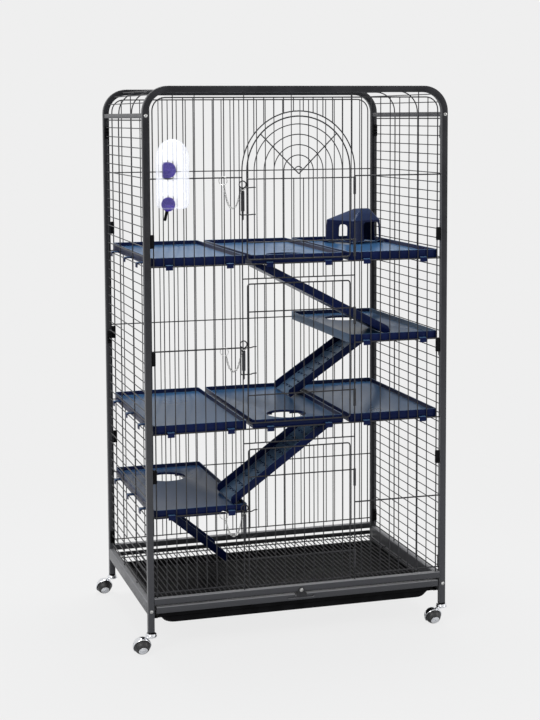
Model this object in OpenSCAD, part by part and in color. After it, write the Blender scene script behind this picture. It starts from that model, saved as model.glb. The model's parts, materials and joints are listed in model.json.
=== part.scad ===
// Tall wire cage for ferrets: a square-tube frame of two arches, wire panels, three hinged doors,
// eight hanging platforms joined by ramps, a pull-out tray and ball casters.
// X to the right, Y to the back, Z up; the origin is on the floor under the middle of the cage.

/* [Frame] */
// Outside width over the posts
cage_w = 787; // [784:1:790]
// Outside depth over the posts
cage_d = 516; // [514:1:520]
// Height of the top bars above the floor
cage_h = 1388.5; // [1388:0.5:1392]
// Side of the square frame tube
tube = 16; // [15:0.5:17]
// Wall of the frame tube
tube_wall = 1.2; // [1:0.1:1.6]
// Centre-line radius of the arch bends
bend_r = 57; // [50:1:60]
// Height of the leg ends above the floor
leg_z = 54.2; // [54:0.1:56]
// Side of the upper side rails
top_rail = 12; // [10:0.5:12]
// Underside of the upper side rails
top_rail_z = 1311; // [1310:0.5:1312]
// Height of the lower side rails
low_rail_h = 30; // [28:1:30]
// Underside of the lower side rails
low_rail_z = 96; // [96:0.5:98]
// Underside of the front and back cross bars
cross_z = 121; // [121:0.5:122]

/* [Wire] */
// Distance between the upright wires
pitch = 25.4; // [25.3:0.1:25.4]
// Thickness of the upright wires
thin_d = 2.6; // [2.2:0.1:2.8]
// Thickness of the loops and cross wires
loop_d = 3.2; // [3:0.1:3.4]
// Depth by which two crossing wires sink together at a weld
weld = 0.3; // [0.2:0.05:0.4]
// Distance between the wires of the side panels
side_pitch = 23.8; // [23.6:0.1:23.8]
// Highest wire of the side panels' rows
side_top_z = 1286.6; // [1286:0.1:1287]
// Number of wires in a side panel's rows
side_rows = 49; // [47:1:49]
// Distance between the two inner uprights of a side panel and the middle
third_y = 80.7; // [78:0.1:82]
// Distance between the bars of the floor grille
grille_pitch = 12.7; // [12.7:0.1:14]

/* [Doors] */
// Half the width of the door openings
open_x = 146; // [146:0.5:147]
// Gap between a door's frame and the opening's wires, centre to centre
door_gap = 12.5; // [12:0.5:12.5]
// Centre height of the round top
arch_z = 1181; // [1180:0.5:1182]
// Diameter of the wire that the doors turn on
hinge_d = 3.4; // [3.2:0.1:3.6]
// Radial clearance of the door eyes and of the latch pins
run_gap = 0.05; // [0.03:0.01:0.08]
// Height of a rolled door eye
eye_h = 42; // [38:1:44]
// Diameter of a latch pin
pin_d = 5; // [4.6:0.1:5.2]
// Height of a latch sleeve
sleeve_h = 49; // [46:1:52]

/* [Platforms] */
// Width of a platform
plat_w = 238; // [236:1:240]
// Depth of a platform
plat_d = 489; // [486:1:489]
// Height of a platform's rim
plat_h = 22; // [20:1:24]
// Thickness of the moulded walls
skin = 3; // [2.5:0.5:3]
// Depth of the floor below the rim
well = 11; // [10:1:12]
// Inner radius of the climbing holes
hole_r = 51; // [50:1:52]
// Distance of the holes from the platform's middle
hole_y = 138; // [132:1:140]

/* [Ramps] */
// Length of a ramp from its pivot to its foot
ramp_l = 320; // [318:1:322]
// Length of the top ramp, which is less steep than the others
top_ramp_l = 396; // [394:1:398]
// Width of a ramp
ramp_w = 138; // [130:1:140]
// Height of a ramp's side rims
ramp_h = 20; // [18:1:20]

/* [Casters] */
// Radius of a caster ball
ball_r = 20; // [19.5:0.5:20]
// Distance between the leg's axis and the ball's middle
trail = 23; // [22:0.5:24]
// Tilt of the ball's axle below the horizontal
axle_tilt = 30; // [25:1:35]

/* [Hidden] */

frame_grey = "#3a3b3e";
wire_black = "#222325";
zinc = "#c9ccd0";
navy = "#10154a";
purple = "#46329a";
black = "#141416";

eps = 0.01;
// length by which a straight run goes into an arc
lap = 0.5;
// a prism of 8 sides whose flats lie at the wire's radius
octagon = 1 / cos(22.5);

// middles and inner faces of the posts, and the top bars
post_x = (cage_w - tube) / 2;
post_y = (cage_d - tube) / 2;
post_in_x = post_x - tube / 2;
post_in_y = post_y - tube / 2;
bar_z = cage_h - tube / 2;
bend_x = post_x - bend_r;
bend_z = bar_z - bend_r;
cross_top = cross_z + tube;
low_rail_top = low_rail_z + low_rail_h;

// the second layer of wires lies this far from the first
layer = (thin_d + loop_d) / 2 - weld;
function upright_x(k) = pitch * (k + 0.5);
edge_x = upright_x(14);
corner_r = 32;
edge_top = 1360.4;
hook_ks = [5, 12];
front_rows = [953, 543];
front_side_rows = [1166, 747, 338, 149.5];
strip_rows = [[917, 953], [507, 543]];
back_rows = [1164.5, 953, 750, 543, 340, 150];
side_top_loop = 1306.5;
side_low_loop = 133;
side_edge_y = post_in_y - 4;

// doors: bottom, top, and the heights of their cross wires
door_x = open_x - door_gap;
upper_bottom = 964;
upper_rows = [1161.9, 1006.5];
middle_span = [557.5, 904];
middle_rows = [835, 627];
lower_span = [144.5, 491.5];
lower_rows = [422, 213];
frame_d = 3.6;
spoke_d = 3;
latch_z = [1108.5, 715.5, 305.5];
latch_y = -post_y - 5.4;
ring_up = 40.5;
tip_down = 46.5;
ring_r = 8.7;
ring_wire = 2.6;
bracket_h = 33;
bracket_x = 157;
bracket_out = 13;
bracket_d = 2.9;
// gap at the bracket's weld, so that it stays a solid of its own
weld_gap = 0.02;

// platforms: undersides of the four levels, and the wires that they hang on
level_z = [953, 744, 542, 332];
hang_front = [953, 747, 543, 338];
hang_back = [953, 750, 543, 340];
hang_side = [953.4, 0, 548.8, 334.6];
hook_w = 18;
hook_ys = [170, 0, -150];
// the platforms' middles and their hooks lie between the upright wires
plat_step = 10 * pitch;
hook_x = 3 * pitch;
// the rim of a climbing hole hangs this far below the floor's top
hole_lip = 6;

// ramps: the pivot's place below each level and the lowest point of the foot
pivot_drop = 7;
pivot_d = 6;
foot_gap = 0.5;
grip_step = 26;
ramp_pivot_x = [-95, 340, 95, -349];
ramp_dir = [1, -1, -1, 1];
ramp_side = [-1, 1, -1, 1];
foot_z = [level_z[1] + plat_h - well, level_z[2] + plat_h - well,
          level_z[3] + plat_h - well, 114];

// base
tray_bar_z = 99.5;
tray_bar_x = 372;
pan_flange_z = 85.2;
pan_t = 1.5;
pan_floor_z = 69;
pan_front = -243.8;
grille_z = 102.5;
grille_rear_y = 243;
tab_z = 126;

// ---------------------------------------------------------------- wires

module wire_z(x, y, z0, z1, d) {
    translate([x, y, z0]) rotate(22.5)
        cylinder(d = d * octagon, h = z1 - z0, $fn = 8);
}

module wire_x(x0, x1, y, z, d) {
    translate([x0, y, z]) rotate([0, 90, 0]) rotate(22.5)
        cylinder(d = d * octagon, h = x1 - x0, $fn = 8);
}

module wire_y(x, y0, y1, z, d) {
    translate([x, y0, z]) rotate([-90, 0, 0]) rotate(22.5)
        cylinder(d = d * octagon, h = y1 - y0, $fn = 8);
}

// an arc in the XZ plane, from angle a0 to a1, cut as one piece with n straight sides
module wire_arc(c, r, a0, a1, n, d) {
    section = d - 0.1;
    angles = [for (i = [0:n]) a0 + (a1 - a0) * i / n];
    outer = r + section / 2;
    inner = r - section / 2;
    translate([c[0], c[1] + section / 2, c[2]]) rotate([90, 0, 0]) linear_extrude(section)
        polygon(concat([for (a = angles) outer * [cos(a), sin(a)]],
                       [for (i = [n:-1:0]) inner * [cos(angles[i]), sin(angles[i])]]));
}

// offset of the points of an open path by w to its left, with mitred corners
function unit(v) = v / norm(v);
function left_of(v) = [-v[1], v[0]];
function path_side(p, w) =
    let (n = [for (i = [0:len(p) - 2]) left_of(unit(p[i + 1] - p[i]))], last = len(p) - 1)
    [for (i = [0:last])
        i == 0 ? p[0] + w * n[0]
        : i == last ? p[last] + w * n[last - 1]
        : p[i] + w * (n[i - 1] + n[i]) / (1 + n[i - 1] * n[i])];

// a bent wire that lies flat at height z and follows a path seen from above
module wire_flat(p, z, d) {
    left = path_side(p, d / 2);
    right = path_side(p, -d / 2);
    translate([0, 0, z - d / 2]) linear_extrude(d)
        polygon(concat(left, [for (i = [len(p) - 1:-1:0]) right[i]]));
}

// ---------------------------------------------------------------- frame

module square_tube(side, len) {
    difference() {
        translate([-side / 2, -side / 2, 0]) cube([side, side, len]);
        translate([-side / 2 + tube_wall, -side / 2 + tube_wall, -1])
            cube([side - 2 * tube_wall, side - 2 * tube_wall, len + 2]);
    }
}

module arch_solid(side, bottom) {
    for (s = [-1, 1])
        translate([s * post_x - side / 2, -side / 2, bottom]) cube([side, side, bend_z - bottom]);
    translate([-bend_x, -side / 2, bar_z - side / 2]) cube([2 * bend_x, side, side]);
    for (m = [0, 1])
        mirror([m, 0, 0]) translate([bend_x, 0, bend_z]) rotate([90, 0, 0])
            rotate_extrude(angle = 90, $fn = 96)
                translate([bend_r, 0]) square([side, side], center = true);
}

module arch() {
    color(frame_grey)
        difference() {
            arch_solid(tube, leg_z);
            arch_solid(tube - 2 * tube_wall, leg_z - 1);
            for (s = [-1, 1], z = [106.2, top_rail_z + top_rail / 2])
                translate([s * post_x, tube, z]) rotate([90, 0, 0])
                    cylinder(r = 2.5, h = 2 * tube, $fn = 32);
        }
}

module top_side_rail() {
    color(frame_grey)
        translate([0, -post_in_y, top_rail_z + top_rail / 2]) rotate([-90, 0, 0])
            square_tube(top_rail, 2 * post_in_y);
}

// a tall tube with a ledge for the grille and a lip below for the tray, both on its inner side
module bottom_side_rail() {
    ledge_top = grille_z - layer - loop_d / 2 - 0.2;
    color(frame_grey) {
        difference() {
            translate([-tube / 2, -post_in_y, low_rail_z]) cube([tube, 2 * post_in_y, low_rail_h]);
            translate([-tube / 2 + tube_wall, -post_in_y - 1, low_rail_z + tube_wall])
                cube([tube - 2 * tube_wall, 2 * post_in_y + 2, low_rail_h - 2 * tube_wall]);
        }
        translate([-tube / 2 - 11.5, -post_in_y, ledge_top - tube_wall])
            cube([11.5, 2 * post_in_y, tube_wall]);
        translate([-tube / 2, -post_in_y, pan_flange_z - 0.2 - tube_wall])
            cube([tube_wall, 2 * post_in_y, low_rail_z - pan_flange_z + 0.2 + tube_wall]);
        translate([-tube / 2 - 11.5, -post_in_y, pan_flange_z - 0.2 - tube_wall])
            cube([11.5 + tube_wall, 2 * post_in_y, tube_wall]);
    }
}

module cross_bar() {
    color(frame_grey)
        translate([-post_in_x, 0, cross_z + tube / 2]) rotate([0, 90, 0])
            square_tube(tube, 2 * post_in_x);
}

module front_bar() {
    difference() {
        cross_bar();
        translate([0, tube / 2 + 1, tab_z]) rotate([90, 0, 0])
            cylinder(r = 2.5, h = tube + 2, $fn = 32);
    }
}

// a pan-head screw pointing along +Y, with its head's seat at the origin
module pan_screw(head_r, head_t, shank_r, len) {
    color(zinc) rotate([-90, 0, 0]) {
        translate([0, 0, -head_t]) cylinder(r = head_r, h = head_t, $fn = 32);
        translate([0, 0, -eps]) cylinder(r = shank_r, h = len, $fn = 32);
    }
}

module frame_screws() {
    for (m = [0, 1], s = [-1, 1], z = [106.2, top_rail_z + top_rail / 2])
        mirror([0, m, 0]) translate([s * post_x, -post_y - tube / 2, z])
            pan_screw(4.5, 2.4, 2.4, tube + 8);
}

// ---------------------------------------------------------------- panels

function edge_height(x) =
    let (over = max(0, abs(x) - (edge_x - corner_r)))
    edge_top - corner_r + sqrt(corner_r * corner_r - over * over);

// the rounded outer loop of a front or back panel
module edge_loop() {
    for (s = [-1, 1])
        wire_z(s * edge_x, 0, cross_top, edge_top - corner_r + lap, loop_d);
    wire_x(-edge_x + corner_r - lap, edge_x - corner_r + lap, 0, edge_top, loop_d);
    wire_arc([edge_x - corner_r, 0, edge_top - corner_r], corner_r, 0, 90, 5, loop_d);
    wire_arc([corner_r - edge_x, 0, edge_top - corner_r], corner_r, 90, 180, 5, loop_d);
}

// the top of an upright: some run on as hooks up to the arch bar
function upright_top(k) =
    len(search(k, hook_ks)) > 0 ? bar_z - tube / 2 : edge_height(upright_x(k)) + loop_d / 2;

module front_panel() {
    color(wire_black) translate([0, -post_y, 0]) {
        edge_loop();
        for (s = [-1, 1]) {
            for (k = [6:13])
                wire_z(s * upright_x(k), layer, front_side_rows[3] - loop_d / 2, upright_top(k), thin_d);
            for (k = [0:5])
                wire_z(s * upright_x(k), layer,
                       arch_z + sqrt(open_x * open_x - pow(upright_x(k), 2)) - loop_d / 2,
                       upright_top(k), thin_d);
            for (z = front_side_rows)
                wire_x(s > 0 ? open_x : -post_in_x, s > 0 ? post_in_x : -open_x, 0, z, loop_d);
            for (k = [0:4], r = strip_rows)
                wire_z(s * upright_x(k), layer, r[0] - loop_d / 2, r[1] + loop_d / 2, thin_d);
        }
        for (z = front_rows) wire_x(-post_in_x, post_in_x, 0, z, loop_d);
        for (r = strip_rows) wire_x(-open_x, open_x, 0, r[0], loop_d);
        wire_z(-open_x, 0, cross_top, arch_z + lap, loop_d);
        wire_arc([0, 0, arch_z], open_x, 0, 180, 20, loop_d);
    }
}

module hinge_wire() {
    color(wire_black)
        translate([open_x, -post_y, cross_top]) cylinder(d = hinge_d, h = arch_z - cross_top, $fn = 48);
}

module back_panel() {
    color(wire_black) mirror([0, 1, 0]) translate([0, -post_y, 0]) {
        edge_loop();
        for (s = [-1, 1], k = [0:13])
            wire_z(s * upright_x(k), layer,
                   len(search(k, hook_ks)) > 0 ? cross_top : back_rows[5] - loop_d / 2,
                   upright_top(k), thin_d);
        for (z = back_rows) wire_x(-post_in_x, post_in_x, 0, z, loop_d);
    }
}

// side panel on the right: its rows lie on the outer side
module side_panel() {
    inner = -layer / 2;
    outer = layer / 2;
    color(wire_black) {
        for (k = [0:side_rows - 1])
            wire_y(outer, -side_edge_y - loop_d / 2, side_edge_y + loop_d / 2,
                   side_top_z - k * side_pitch, thin_d);
        for (s = [-1, 1]) {
            wire_z(inner, s * side_edge_y, side_low_loop - loop_d / 2, side_top_loop + loop_d / 2, loop_d);
            wire_z(inner, s * third_y, low_rail_top, top_rail_z, loop_d);
        }
        for (z = [side_low_loop, side_top_loop])
            wire_y(inner, -side_edge_y, side_edge_y, z, loop_d);
    }
}

module top_panel() {
    color(wire_black) {
        for (s = [-1, 1]) {
            for (k = [0:12]) wire_y(s * upright_x(k), -post_in_y, post_in_y, bar_z, thin_d);
            for (a = [25.5, 51, 76.5])
                wire_y(s * (bend_x + bend_r * cos(a)), -post_in_y, post_in_y,
                       bend_z + bend_r * sin(a), thin_d);
        }
        for (y = [-third_y, third_y]) {
            wire_x(-bend_x - lap, bend_x + lap, y, bar_z - layer, loop_d);
            wire_arc([bend_x, y, bend_z], bend_r - layer, 0, 90, 12, loop_d);
            wire_arc([-bend_x, y, bend_z], bend_r - layer, 90, 180, 12, loop_d);
            for (s = [-1, 1])
                wire_z(s * (post_x - layer), y, top_rail_z + top_rail, bend_z + lap, loop_d);
        }
    }
}

// straps that hold the panels to the posts
module panel_clips() {
    color(black)
        for (sx = [-1, 1], sy = [-1, 1]) {
            for (z = [1273, 717, 160])
                translate([sx * post_x, sy * (post_in_y - 3.75), z]) cube([13, 7.5, 33], center = true);
            for (z = [1015, 729, 439])
                translate([sx * (post_in_x - 5.5), sy * (post_y - 0.25), z])
                    cube([11, 9, 33], center = true);
        }
}

// ---------------------------------------------------------------- doors

// the two wires and closed end that stand out from a door round its latch
module latch_bracket(z) {
    weld_x = -upright_x(4);
    weld_y = layer - (thin_d + bracket_d) / 2 - weld_gap;
    path = [[weld_x + 3, weld_y], [weld_x - 5, weld_y], [weld_x - 16, -bracket_out],
            [-bracket_x, -bracket_out]];
    for (s = [-1, 1]) wire_flat(path, z + s * bracket_h, bracket_d);
    wire_z(-bracket_x + bracket_d / 2, -bracket_out, z - bracket_h - bracket_d / 2 + 0.1,
           z + bracket_h + bracket_d / 2 - 0.1, bracket_d - 0.2);
}

module square_door(span, rows, z_latch) {
    color(wire_black) translate([0, -post_y, 0]) {
        for (s = [-1, 1]) {
            wire_z(s * door_x, 0, span[0] - frame_d / 2, span[1] + frame_d / 2, frame_d);
            for (k = [0:4])
                wire_z(s * upright_x(k), layer, span[0] - frame_d / 4, span[1] + frame_d / 4, thin_d);
        }
        for (z = span) wire_x(-door_x, door_x, 0, z, frame_d);
        for (z = rows) wire_x(-door_x, door_x, 0, z, loop_d);
        latch_bracket(z_latch);
    }
}

module upper_door() {
    color(wire_black) translate([0, -post_y, 0]) {
        for (s = [-1, 1]) {
            wire_z(s * door_x, 0, upper_bottom - frame_d / 2, arch_z + lap, frame_d);
            for (k = [1:4])
                wire_z(s * upright_x(k), layer, upper_bottom - frame_d / 4, arch_z + lap, thin_d);
            wire_z(s * upright_x(0), layer, upper_bottom - frame_d / 4, upper_rows[0] + loop_d / 2, thin_d);
        }
        wire_x(-door_x, door_x, 0, upper_bottom, frame_d);
        for (z = upper_rows) wire_x(-door_x, door_x, 0, z, loop_d);
        wire_arc([0, 0, arch_z], door_x, 0, 180, 20, frame_d);
        for (k = [1:4])
            wire_arc([0, layer, arch_z], upright_x(k), 0, 180, 8 + 2 * k, thin_d);
        // two spokes that cross the arcs and meet below the middle
        for (a = [45, 135])
            translate([0, 0, arch_z - 8]) rotate([0, 90 - a, 0]) rotate(22.5)
                cylinder(d = spoke_d * octagon, h = door_x + 5, $fn = 8);
        wire_arc([0, layer, arch_z], 10, 0, 180, 6, thin_d);
        latch_bracket(latch_z[0]);
    }
}

// rolled eyes of a door's cross wires round the hinge wire; the first wire in each pair is the upper
module door_eyes(rows) {
    reach = open_x - door_x - frame_d / 2;
    color(wire_black)
        for (z = rows)
            translate([open_x, -post_y, z]) difference() {
                union() {
                    translate([0, 0, -eye_h]) cylinder(r = hinge_d / 2 + 1.7, h = eye_h + loop_d / 2 + 0.4, $fn = 48);
                    wire_x(-reach, -hinge_d / 2 - 0.6, 0, 0, loop_d);
                }
                translate([0, 0, -eye_h - 1])
                    cylinder(r = hinge_d / 2 + run_gap, h = eye_h + loop_d + 3, $fn = 48);
            }
}

module latch_sleeves() {
    color(frame_grey)
        for (z = latch_z)
            translate([-open_x, latch_y, z - sleeve_h / 2]) difference() {
                cylinder(r = 3.9, h = sleeve_h, $fn = 48);
                translate([0, 0, -1]) cylinder(r = pin_d / 2 + run_gap, h = sleeve_h + 2, $fn = 48);
            }
}

module latch_pin(z) {
    color(frame_grey) translate([-open_x, latch_y, z]) {
        translate([0, 0, -tip_down]) cylinder(d = pin_d, h = tip_down + ring_up - ring_r, $fn = 48);
        translate([0, 0, ring_up]) rotate([90, 0, 0])
            rotate_extrude($fn = 48) translate([ring_r, 0]) circle(d = ring_wire, $fn = 24);
    }
}

// ---------------------------------------------------------------- chains

// the upper, middle and lower chain: the catenary's size, and where its lowest point and its
// split ring are; the lower ring hangs clear of a platform's hook on the same wire
chain_a = [7, 7, 8];
low_x = [-171.5, -171.5, -173.9];
split_x = [-194, -194, -198.1];
link_r = 2.3;
link_wire = 1.1;
link_pitch = 3.1;
split_r = 10.2;
split_wire = 1.7;
low_z = [1092, 690, 278];
neck_up = 28;
neck_r = 5.5;
neck_y = 2.35;
split_drop = 7.3;
split_turn = -27;
// the chain's first link goes round the split ring this far from its lowest point
first_u = 3;

function asinh(t) = ln(t + sqrt(t * t + 1));

// number of links between the lowest point and a point that lies h above it
function link_count(a, h) = round(sqrt(h * h + 2 * a * h) / link_pitch);

// a split ring threaded on the panel's cross wire, a small ring round the pin's neck, and the
// links that hang between them
module chain(i_door) {
    z_row = front_side_rows[i_door];
    z_latch = latch_z[i_door];
    z_low = low_z[i_door];
    a = chain_a[i_door];
    first = -link_count(a, z_row - split_drop - split_r - z_low);
    last = link_count(a, z_latch + neck_up - z_low);
    first_y = -post_y + first_u * sin(split_turn);
    color(zinc) {
        translate([split_x[i_door], -post_y, z_row - split_drop]) rotate(split_turn) rotate([90, 0, 0])
            rotate_extrude($fn = 48) translate([split_r, 0]) circle(d = split_wire, $fn = 24);
        translate([-open_x, latch_y - neck_y, z_latch + neck_up]) rotate([0, -16, 0])
            rotate_extrude($fn = 32) translate([neck_r, 0]) circle(d = link_wire, $fn = 16);
        for (i = [first:last]) {
            s = i * link_pitch;
            x = low_x[i_door] + a * asinh(s / a);
            y = first_y + (latch_y - neck_y - first_y) * (i - first) / (last - first);
            z = z_low + a * (sqrt(1 + pow(s / a, 2)) - 1);
            slope = atan2(s / a, 1);
            translate([x, y, z]) rotate([0, -slope, 0]) rotate([(i % 2) * 90 + 45, 0, 0])
                rotate_extrude($fn = 24) translate([link_r, 0]) circle(d = link_wire, $fn = 16);
        }
    }
}

// ---------------------------------------------------------------- platforms

// a hook that reaches over a wire and turns down in front of it; local +Y points outward
module hook(wire_out, wire_up, wire_d, root_in) {
    top = wire_up + wire_d / 2 + 0.1;
    out = wire_out + wire_d / 2 + 0.4;
    translate([-hook_w / 2, -root_in, top]) cube([hook_w, out + root_in + 2.4, 3]);
    translate([-hook_w / 2, out, top - 10]) cube([hook_w, 2.4, 10 + eps]);
}

module rounded_box(w, d, h, r) {
    translate([-w / 2 + r, -d / 2, 0]) cube([w - 2 * r, d, h]);
    translate([-w / 2, -d / 2 + r, 0]) cube([w, d - 2 * r, h]);
    for (x = [-1, 1], y = [-1, 1])
        translate([x * (w / 2 - r), y * (d / 2 - r), 0]) cylinder(r = r, h = h, $fn = 32);
}

// hole: 0 for none, else the side (-1 front, 1 back) that the hole lies on
module platform(level, column, hole, side_hooks, lug_x, lug_y) {
    floor_z = plat_h - well;
    color(navy) translate([column * plat_step, 0, level_z[level]]) {
        difference() {
            union() {
                difference() {
                    rounded_box(plat_w, plat_d, plat_h, 8);
                    translate([0, 0, floor_z])
                        rounded_box(plat_w - 2 * skin, plat_d - 2 * skin, plat_h, 5);
                    translate([0, 0, -1])
                        rounded_box(plat_w - 2 * skin, plat_d - 2 * skin, floor_z - skin + 1, 5);
                }
                for (x = [-48, 48])
                    translate([x - 1, -plat_d / 2 + 1, 0]) cube([2, plat_d - 2, floor_z - 1]);
                for (y = [-180, -90, 0, 90, 180])
                    translate([-plat_w / 2 + 1, y - 1, 0]) cube([plat_w - 2, 2, floor_z - 1]);
                if (hole != 0)
                    translate([0, hole * hole_y, floor_z - hole_lip])
                        cylinder(r = hole_r + skin, h = hole_lip + 0.5, $fn = 64);
            }
            if (hole != 0)
                translate([0, hole * hole_y, -1]) cylinder(r = hole_r, h = plat_h + 2, $fn = 64);
        }
        for (x = [-hook_x, hook_x]) {
            translate([x, plat_d / 2, 0])
                hook(post_y - plat_d / 2, hang_back[level] - level_z[level], loop_d, 1);
            rotate(180) translate([x, plat_d / 2, 0])
                hook(post_y - plat_d / 2, hang_front[level] - level_z[level], loop_d, 1);
        }
        if (side_hooks)
            for (y = hook_ys)
                translate([column * plat_w / 2, y, 0]) rotate(-90 * column)
                    hook(post_x + layer / 2 - plat_step - plat_w / 2,
                         hang_side[level] - level_z[level], thin_d, 1);
        if (lug_y != 0)
            for (s = [-1, 1])
                translate([lug_x - column * plat_step, lug_y * hole_y + s * (ramp_w / 2 + 3.5), 0])
                    ramp_lug();
    }
}

// a hanging ear with a bore for a ramp's pivot; its top is in the platform's ribs
module ramp_lug() {
    translate([0, 2.5, 0]) rotate([90, 0, 0]) difference() {
        union() {
            translate([-7, -pivot_drop, 0]) cube([14, pivot_drop + 9, 5]);
            translate([0, -pivot_drop, 0]) cylinder(r = 7, h = 5, $fn = 48);
        }
        translate([0, -pivot_drop, -1]) cylinder(d = pivot_d + 2 * run_gap, h = 7, $fn = 48);
    }
}

// ---------------------------------------------------------------- ramps

function ramp_length(i) = i == 0 ? top_ramp_l : ramp_l;

// slope at which the foot's lower corner stands foot_gap above its floor
function ramp_angle(i) =
    let (drop = level_z[i] - pivot_drop - foot_z[i] - foot_gap)
    asin(drop / norm([ramp_length(i), 6])) - atan2(6, ramp_length(i));

module ramp_shape(l) {
    rim = [[-6, -6], [l, -6], [l, 4], [l - 10, ramp_h - 6], [30, ramp_h - 6], [8, 5], [-6, 5]];
    for (s = [-1, 1])
        translate([0, s * (ramp_w / 2 - skin / 2) + skin / 2, 0]) rotate([90, 0, 0])
            linear_extrude(skin) polygon(rim);
    translate([0, -ramp_w / 2 + 1, -6]) cube([l, ramp_w - 2, 3]);
    translate([-6, -ramp_w / 2 + 1, -6]) cube([12, ramp_w - 2, 10]);
    // rows of grip studs, every other row shifted
    for (i = [0:floor((l - 58) / grip_step)], j = [-2:2])
        translate([32 + grip_step * i, (j + (i % 2) * 0.5 - 0.25) * 24, -3.5])
            cylinder(r = 3.4, h = 1.7, $fn = 6);
    translate([0, ramp_w / 2 + 6, 0]) rotate([90, 0, 0]) cylinder(d = pivot_d, h = ramp_w + 12, $fn = 48);
}

module ramp(i) {
    color(navy)
        translate([ramp_pivot_x[i], ramp_side[i] * hole_y, level_z[i] - pivot_drop])
            rotate([0, 0, ramp_dir[i] > 0 ? 0 : 180]) rotate([0, ramp_angle(i), 0])
                ramp_shape(ramp_length(i));
}

// ---------------------------------------------------------------- hideaway

hut_x = 290;
hut_y = 156;
hut_turn = 25;
hut_s = 112;
hut_base = 118;
hut_eave = 63;
hut_top = 94;
hut_foot = 3;

// a plate of the hut's outline at height z; inset takes the wall's thickness off
module hut_slice(s, z, inset) {
    translate([-s / 2 + inset, -s / 2 + inset, z]) cube([s - 2 * inset, s - 2 * inset, eps]);
}

module hut_body(inset) {
    base = inset > 0 ? -1 : hut_foot;
    hull() {
        hut_slice(hut_base, base, inset);
        hut_slice(hut_s, hut_eave, inset);
    }
    hull() {
        hut_slice(hut_s, hut_eave, inset);
        translate([-5 + inset / 2, -30 + inset / 2, hut_top - inset])
            cube([41 - inset, 25 - inset, eps]);
    }
}

// an opening with a round top through a wall that faces -Y
module hut_arch(x0, x1, z0, z1, depth) {
    r = (x1 - x0) / 2;
    translate([x0, -depth / 2, z0]) cube([x1 - x0, depth, z1 - r - z0]);
    translate([x0 + r, depth / 2, z1 - r]) rotate([90, 0, 0]) cylinder(r = r, h = depth, $fn = 12);
}

module hideaway() {
    color(navy) translate([hut_x, hut_y, level_z[0] + plat_h - well]) rotate(hut_turn) {
        difference() {
            hut_body(0);
            hut_body(2.5);
            for (s = [-1, 1]) translate([0, s * hut_s / 2, 0]) hut_arch(-17, 44, 4, 58, 20);
            translate([-hut_s / 2, 0, 0]) rotate(-90) hut_arch(0, 34, 8, 53, 20);
            translate([hut_s / 2, 0, 0]) rotate(90) hut_arch(-46, -26, 5, 56, 20);
        }
        for (x = [-1, 1], y = [-1, 1])
            translate([x * (hut_base / 2 - 6) - 6, y * (hut_base / 2 - 6) - 6, 0]) cube([12, 12, 4]);
    }
}

// ---------------------------------------------------------------- bottle

bottle_x = -327.5;
bottle_w = 81;
bottle_t = 44;
bottle_back = -262;
bottle_z = 1095;
bottle_top = 1262;
spout_r = 3.6;
spout_l = 51;
spout_tilt = 42;
cap_x = -333;
cap_z = 1105;

// front outline: a box with rounded lower corners and a domed top
module bottle_outline(inset) {
    w = bottle_w / 2 - inset;
    r = 16 - inset;
    shoulder = bottle_top - bottle_z - 42;
    dome_r = (pow(bottle_w / 2, 2) + pow(42, 2)) / (2 * 42) - inset;
    translate([-w, r + inset]) square([2 * w, shoulder - r - inset]);
    translate([-w + r, inset]) square([2 * w - 2 * r, r + 1]);
    for (s = [-1, 1]) translate([s * (w - r), r + inset]) circle(r = r, $fn = 48);
    intersection() {
        translate([0, bottle_top - bottle_z - dome_r - inset]) circle(r = dome_r, $fn = 96);
        translate([-w, shoulder - 1]) square([2 * w, 60]);
    }
}

// plan outline: flat front and back with round ends
module bottle_plan(inset) {
    r = bottle_t / 2 - inset;
    c = bottle_w / 2 - bottle_t / 2;
    for (s = [-1, 1]) translate([s * c, 0]) circle(r = r, $fn = 64);
    square([2 * c, 2 * r], center = true);
}

module bottle_form(inset) {
    intersection() {
        translate([0, bottle_t / 2 + 1, 0]) rotate([90, 0, 0])
            linear_extrude(bottle_t + 2) bottle_outline(inset);
        translate([0, 0, -1]) linear_extrude(bottle_top) bottle_plan(inset);
    }
}

module bottle_body() {
    color("#dfe9f2", 0.4) translate([bottle_x, bottle_back - bottle_t / 2, bottle_z]) difference() {
        bottle_form(0);
        bottle_form(1.5);
        translate([cap_x - bottle_x, bottle_t / 2 - 3, cap_z + 4 - bottle_z]) rotate([-90, 0, 0])
            cylinder(r = 8, h = 5, $fn = 48);
    }
}

// the round cap on the bottle's cage side, with a socket for the spout
module bottle_cap() {
    color(purple) translate([cap_x, bottle_back, cap_z]) difference() {
        intersection() {
            translate([0, -3.5, 0]) sphere(r = 14.7, $fn = 64);
            translate([-20, 0, -20]) cube([40, 20, 40]);
        }
        translate([0, 3, 0]) rotate([180 + spout_tilt, 0, 0]) translate([0, 0, 3]) cylinder(r = spout_r, h = 30, $fn = 32);
    }
}

module bottle_spout() {
    color(black) translate([cap_x, bottle_back + 3, cap_z]) rotate([180 + spout_tilt, 0, 0])
        translate([0, 0, 3]) difference() {
            cylinder(r = spout_r, h = spout_l, $fn = 32);
            translate([0, 0, 3]) cylinder(r = spout_r - 1.3, h = spout_l, $fn = 32);
        }
}

// a D-shaped holder clamped on the wires behind the bottle
module bottle_clip() {
    z0 = 1168;
    z1 = 1206;
    r = (z1 - z0) / 2;
    color(purple) translate([-345, bottle_back + 0.3, (z0 + z1) / 2]) rotate([-90, 0, 0])
        linear_extrude(13) {
            translate([0, -r]) square([13, 2 * r]);
            translate([13, 0]) circle(r = r, $fn = 64);
        }
}

// ---------------------------------------------------------------- base

module pan_plate(x, y0, y1, z, t) {
    translate([-x, y0, z]) cube([2 * x, y1 - y0, t]);
}

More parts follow.
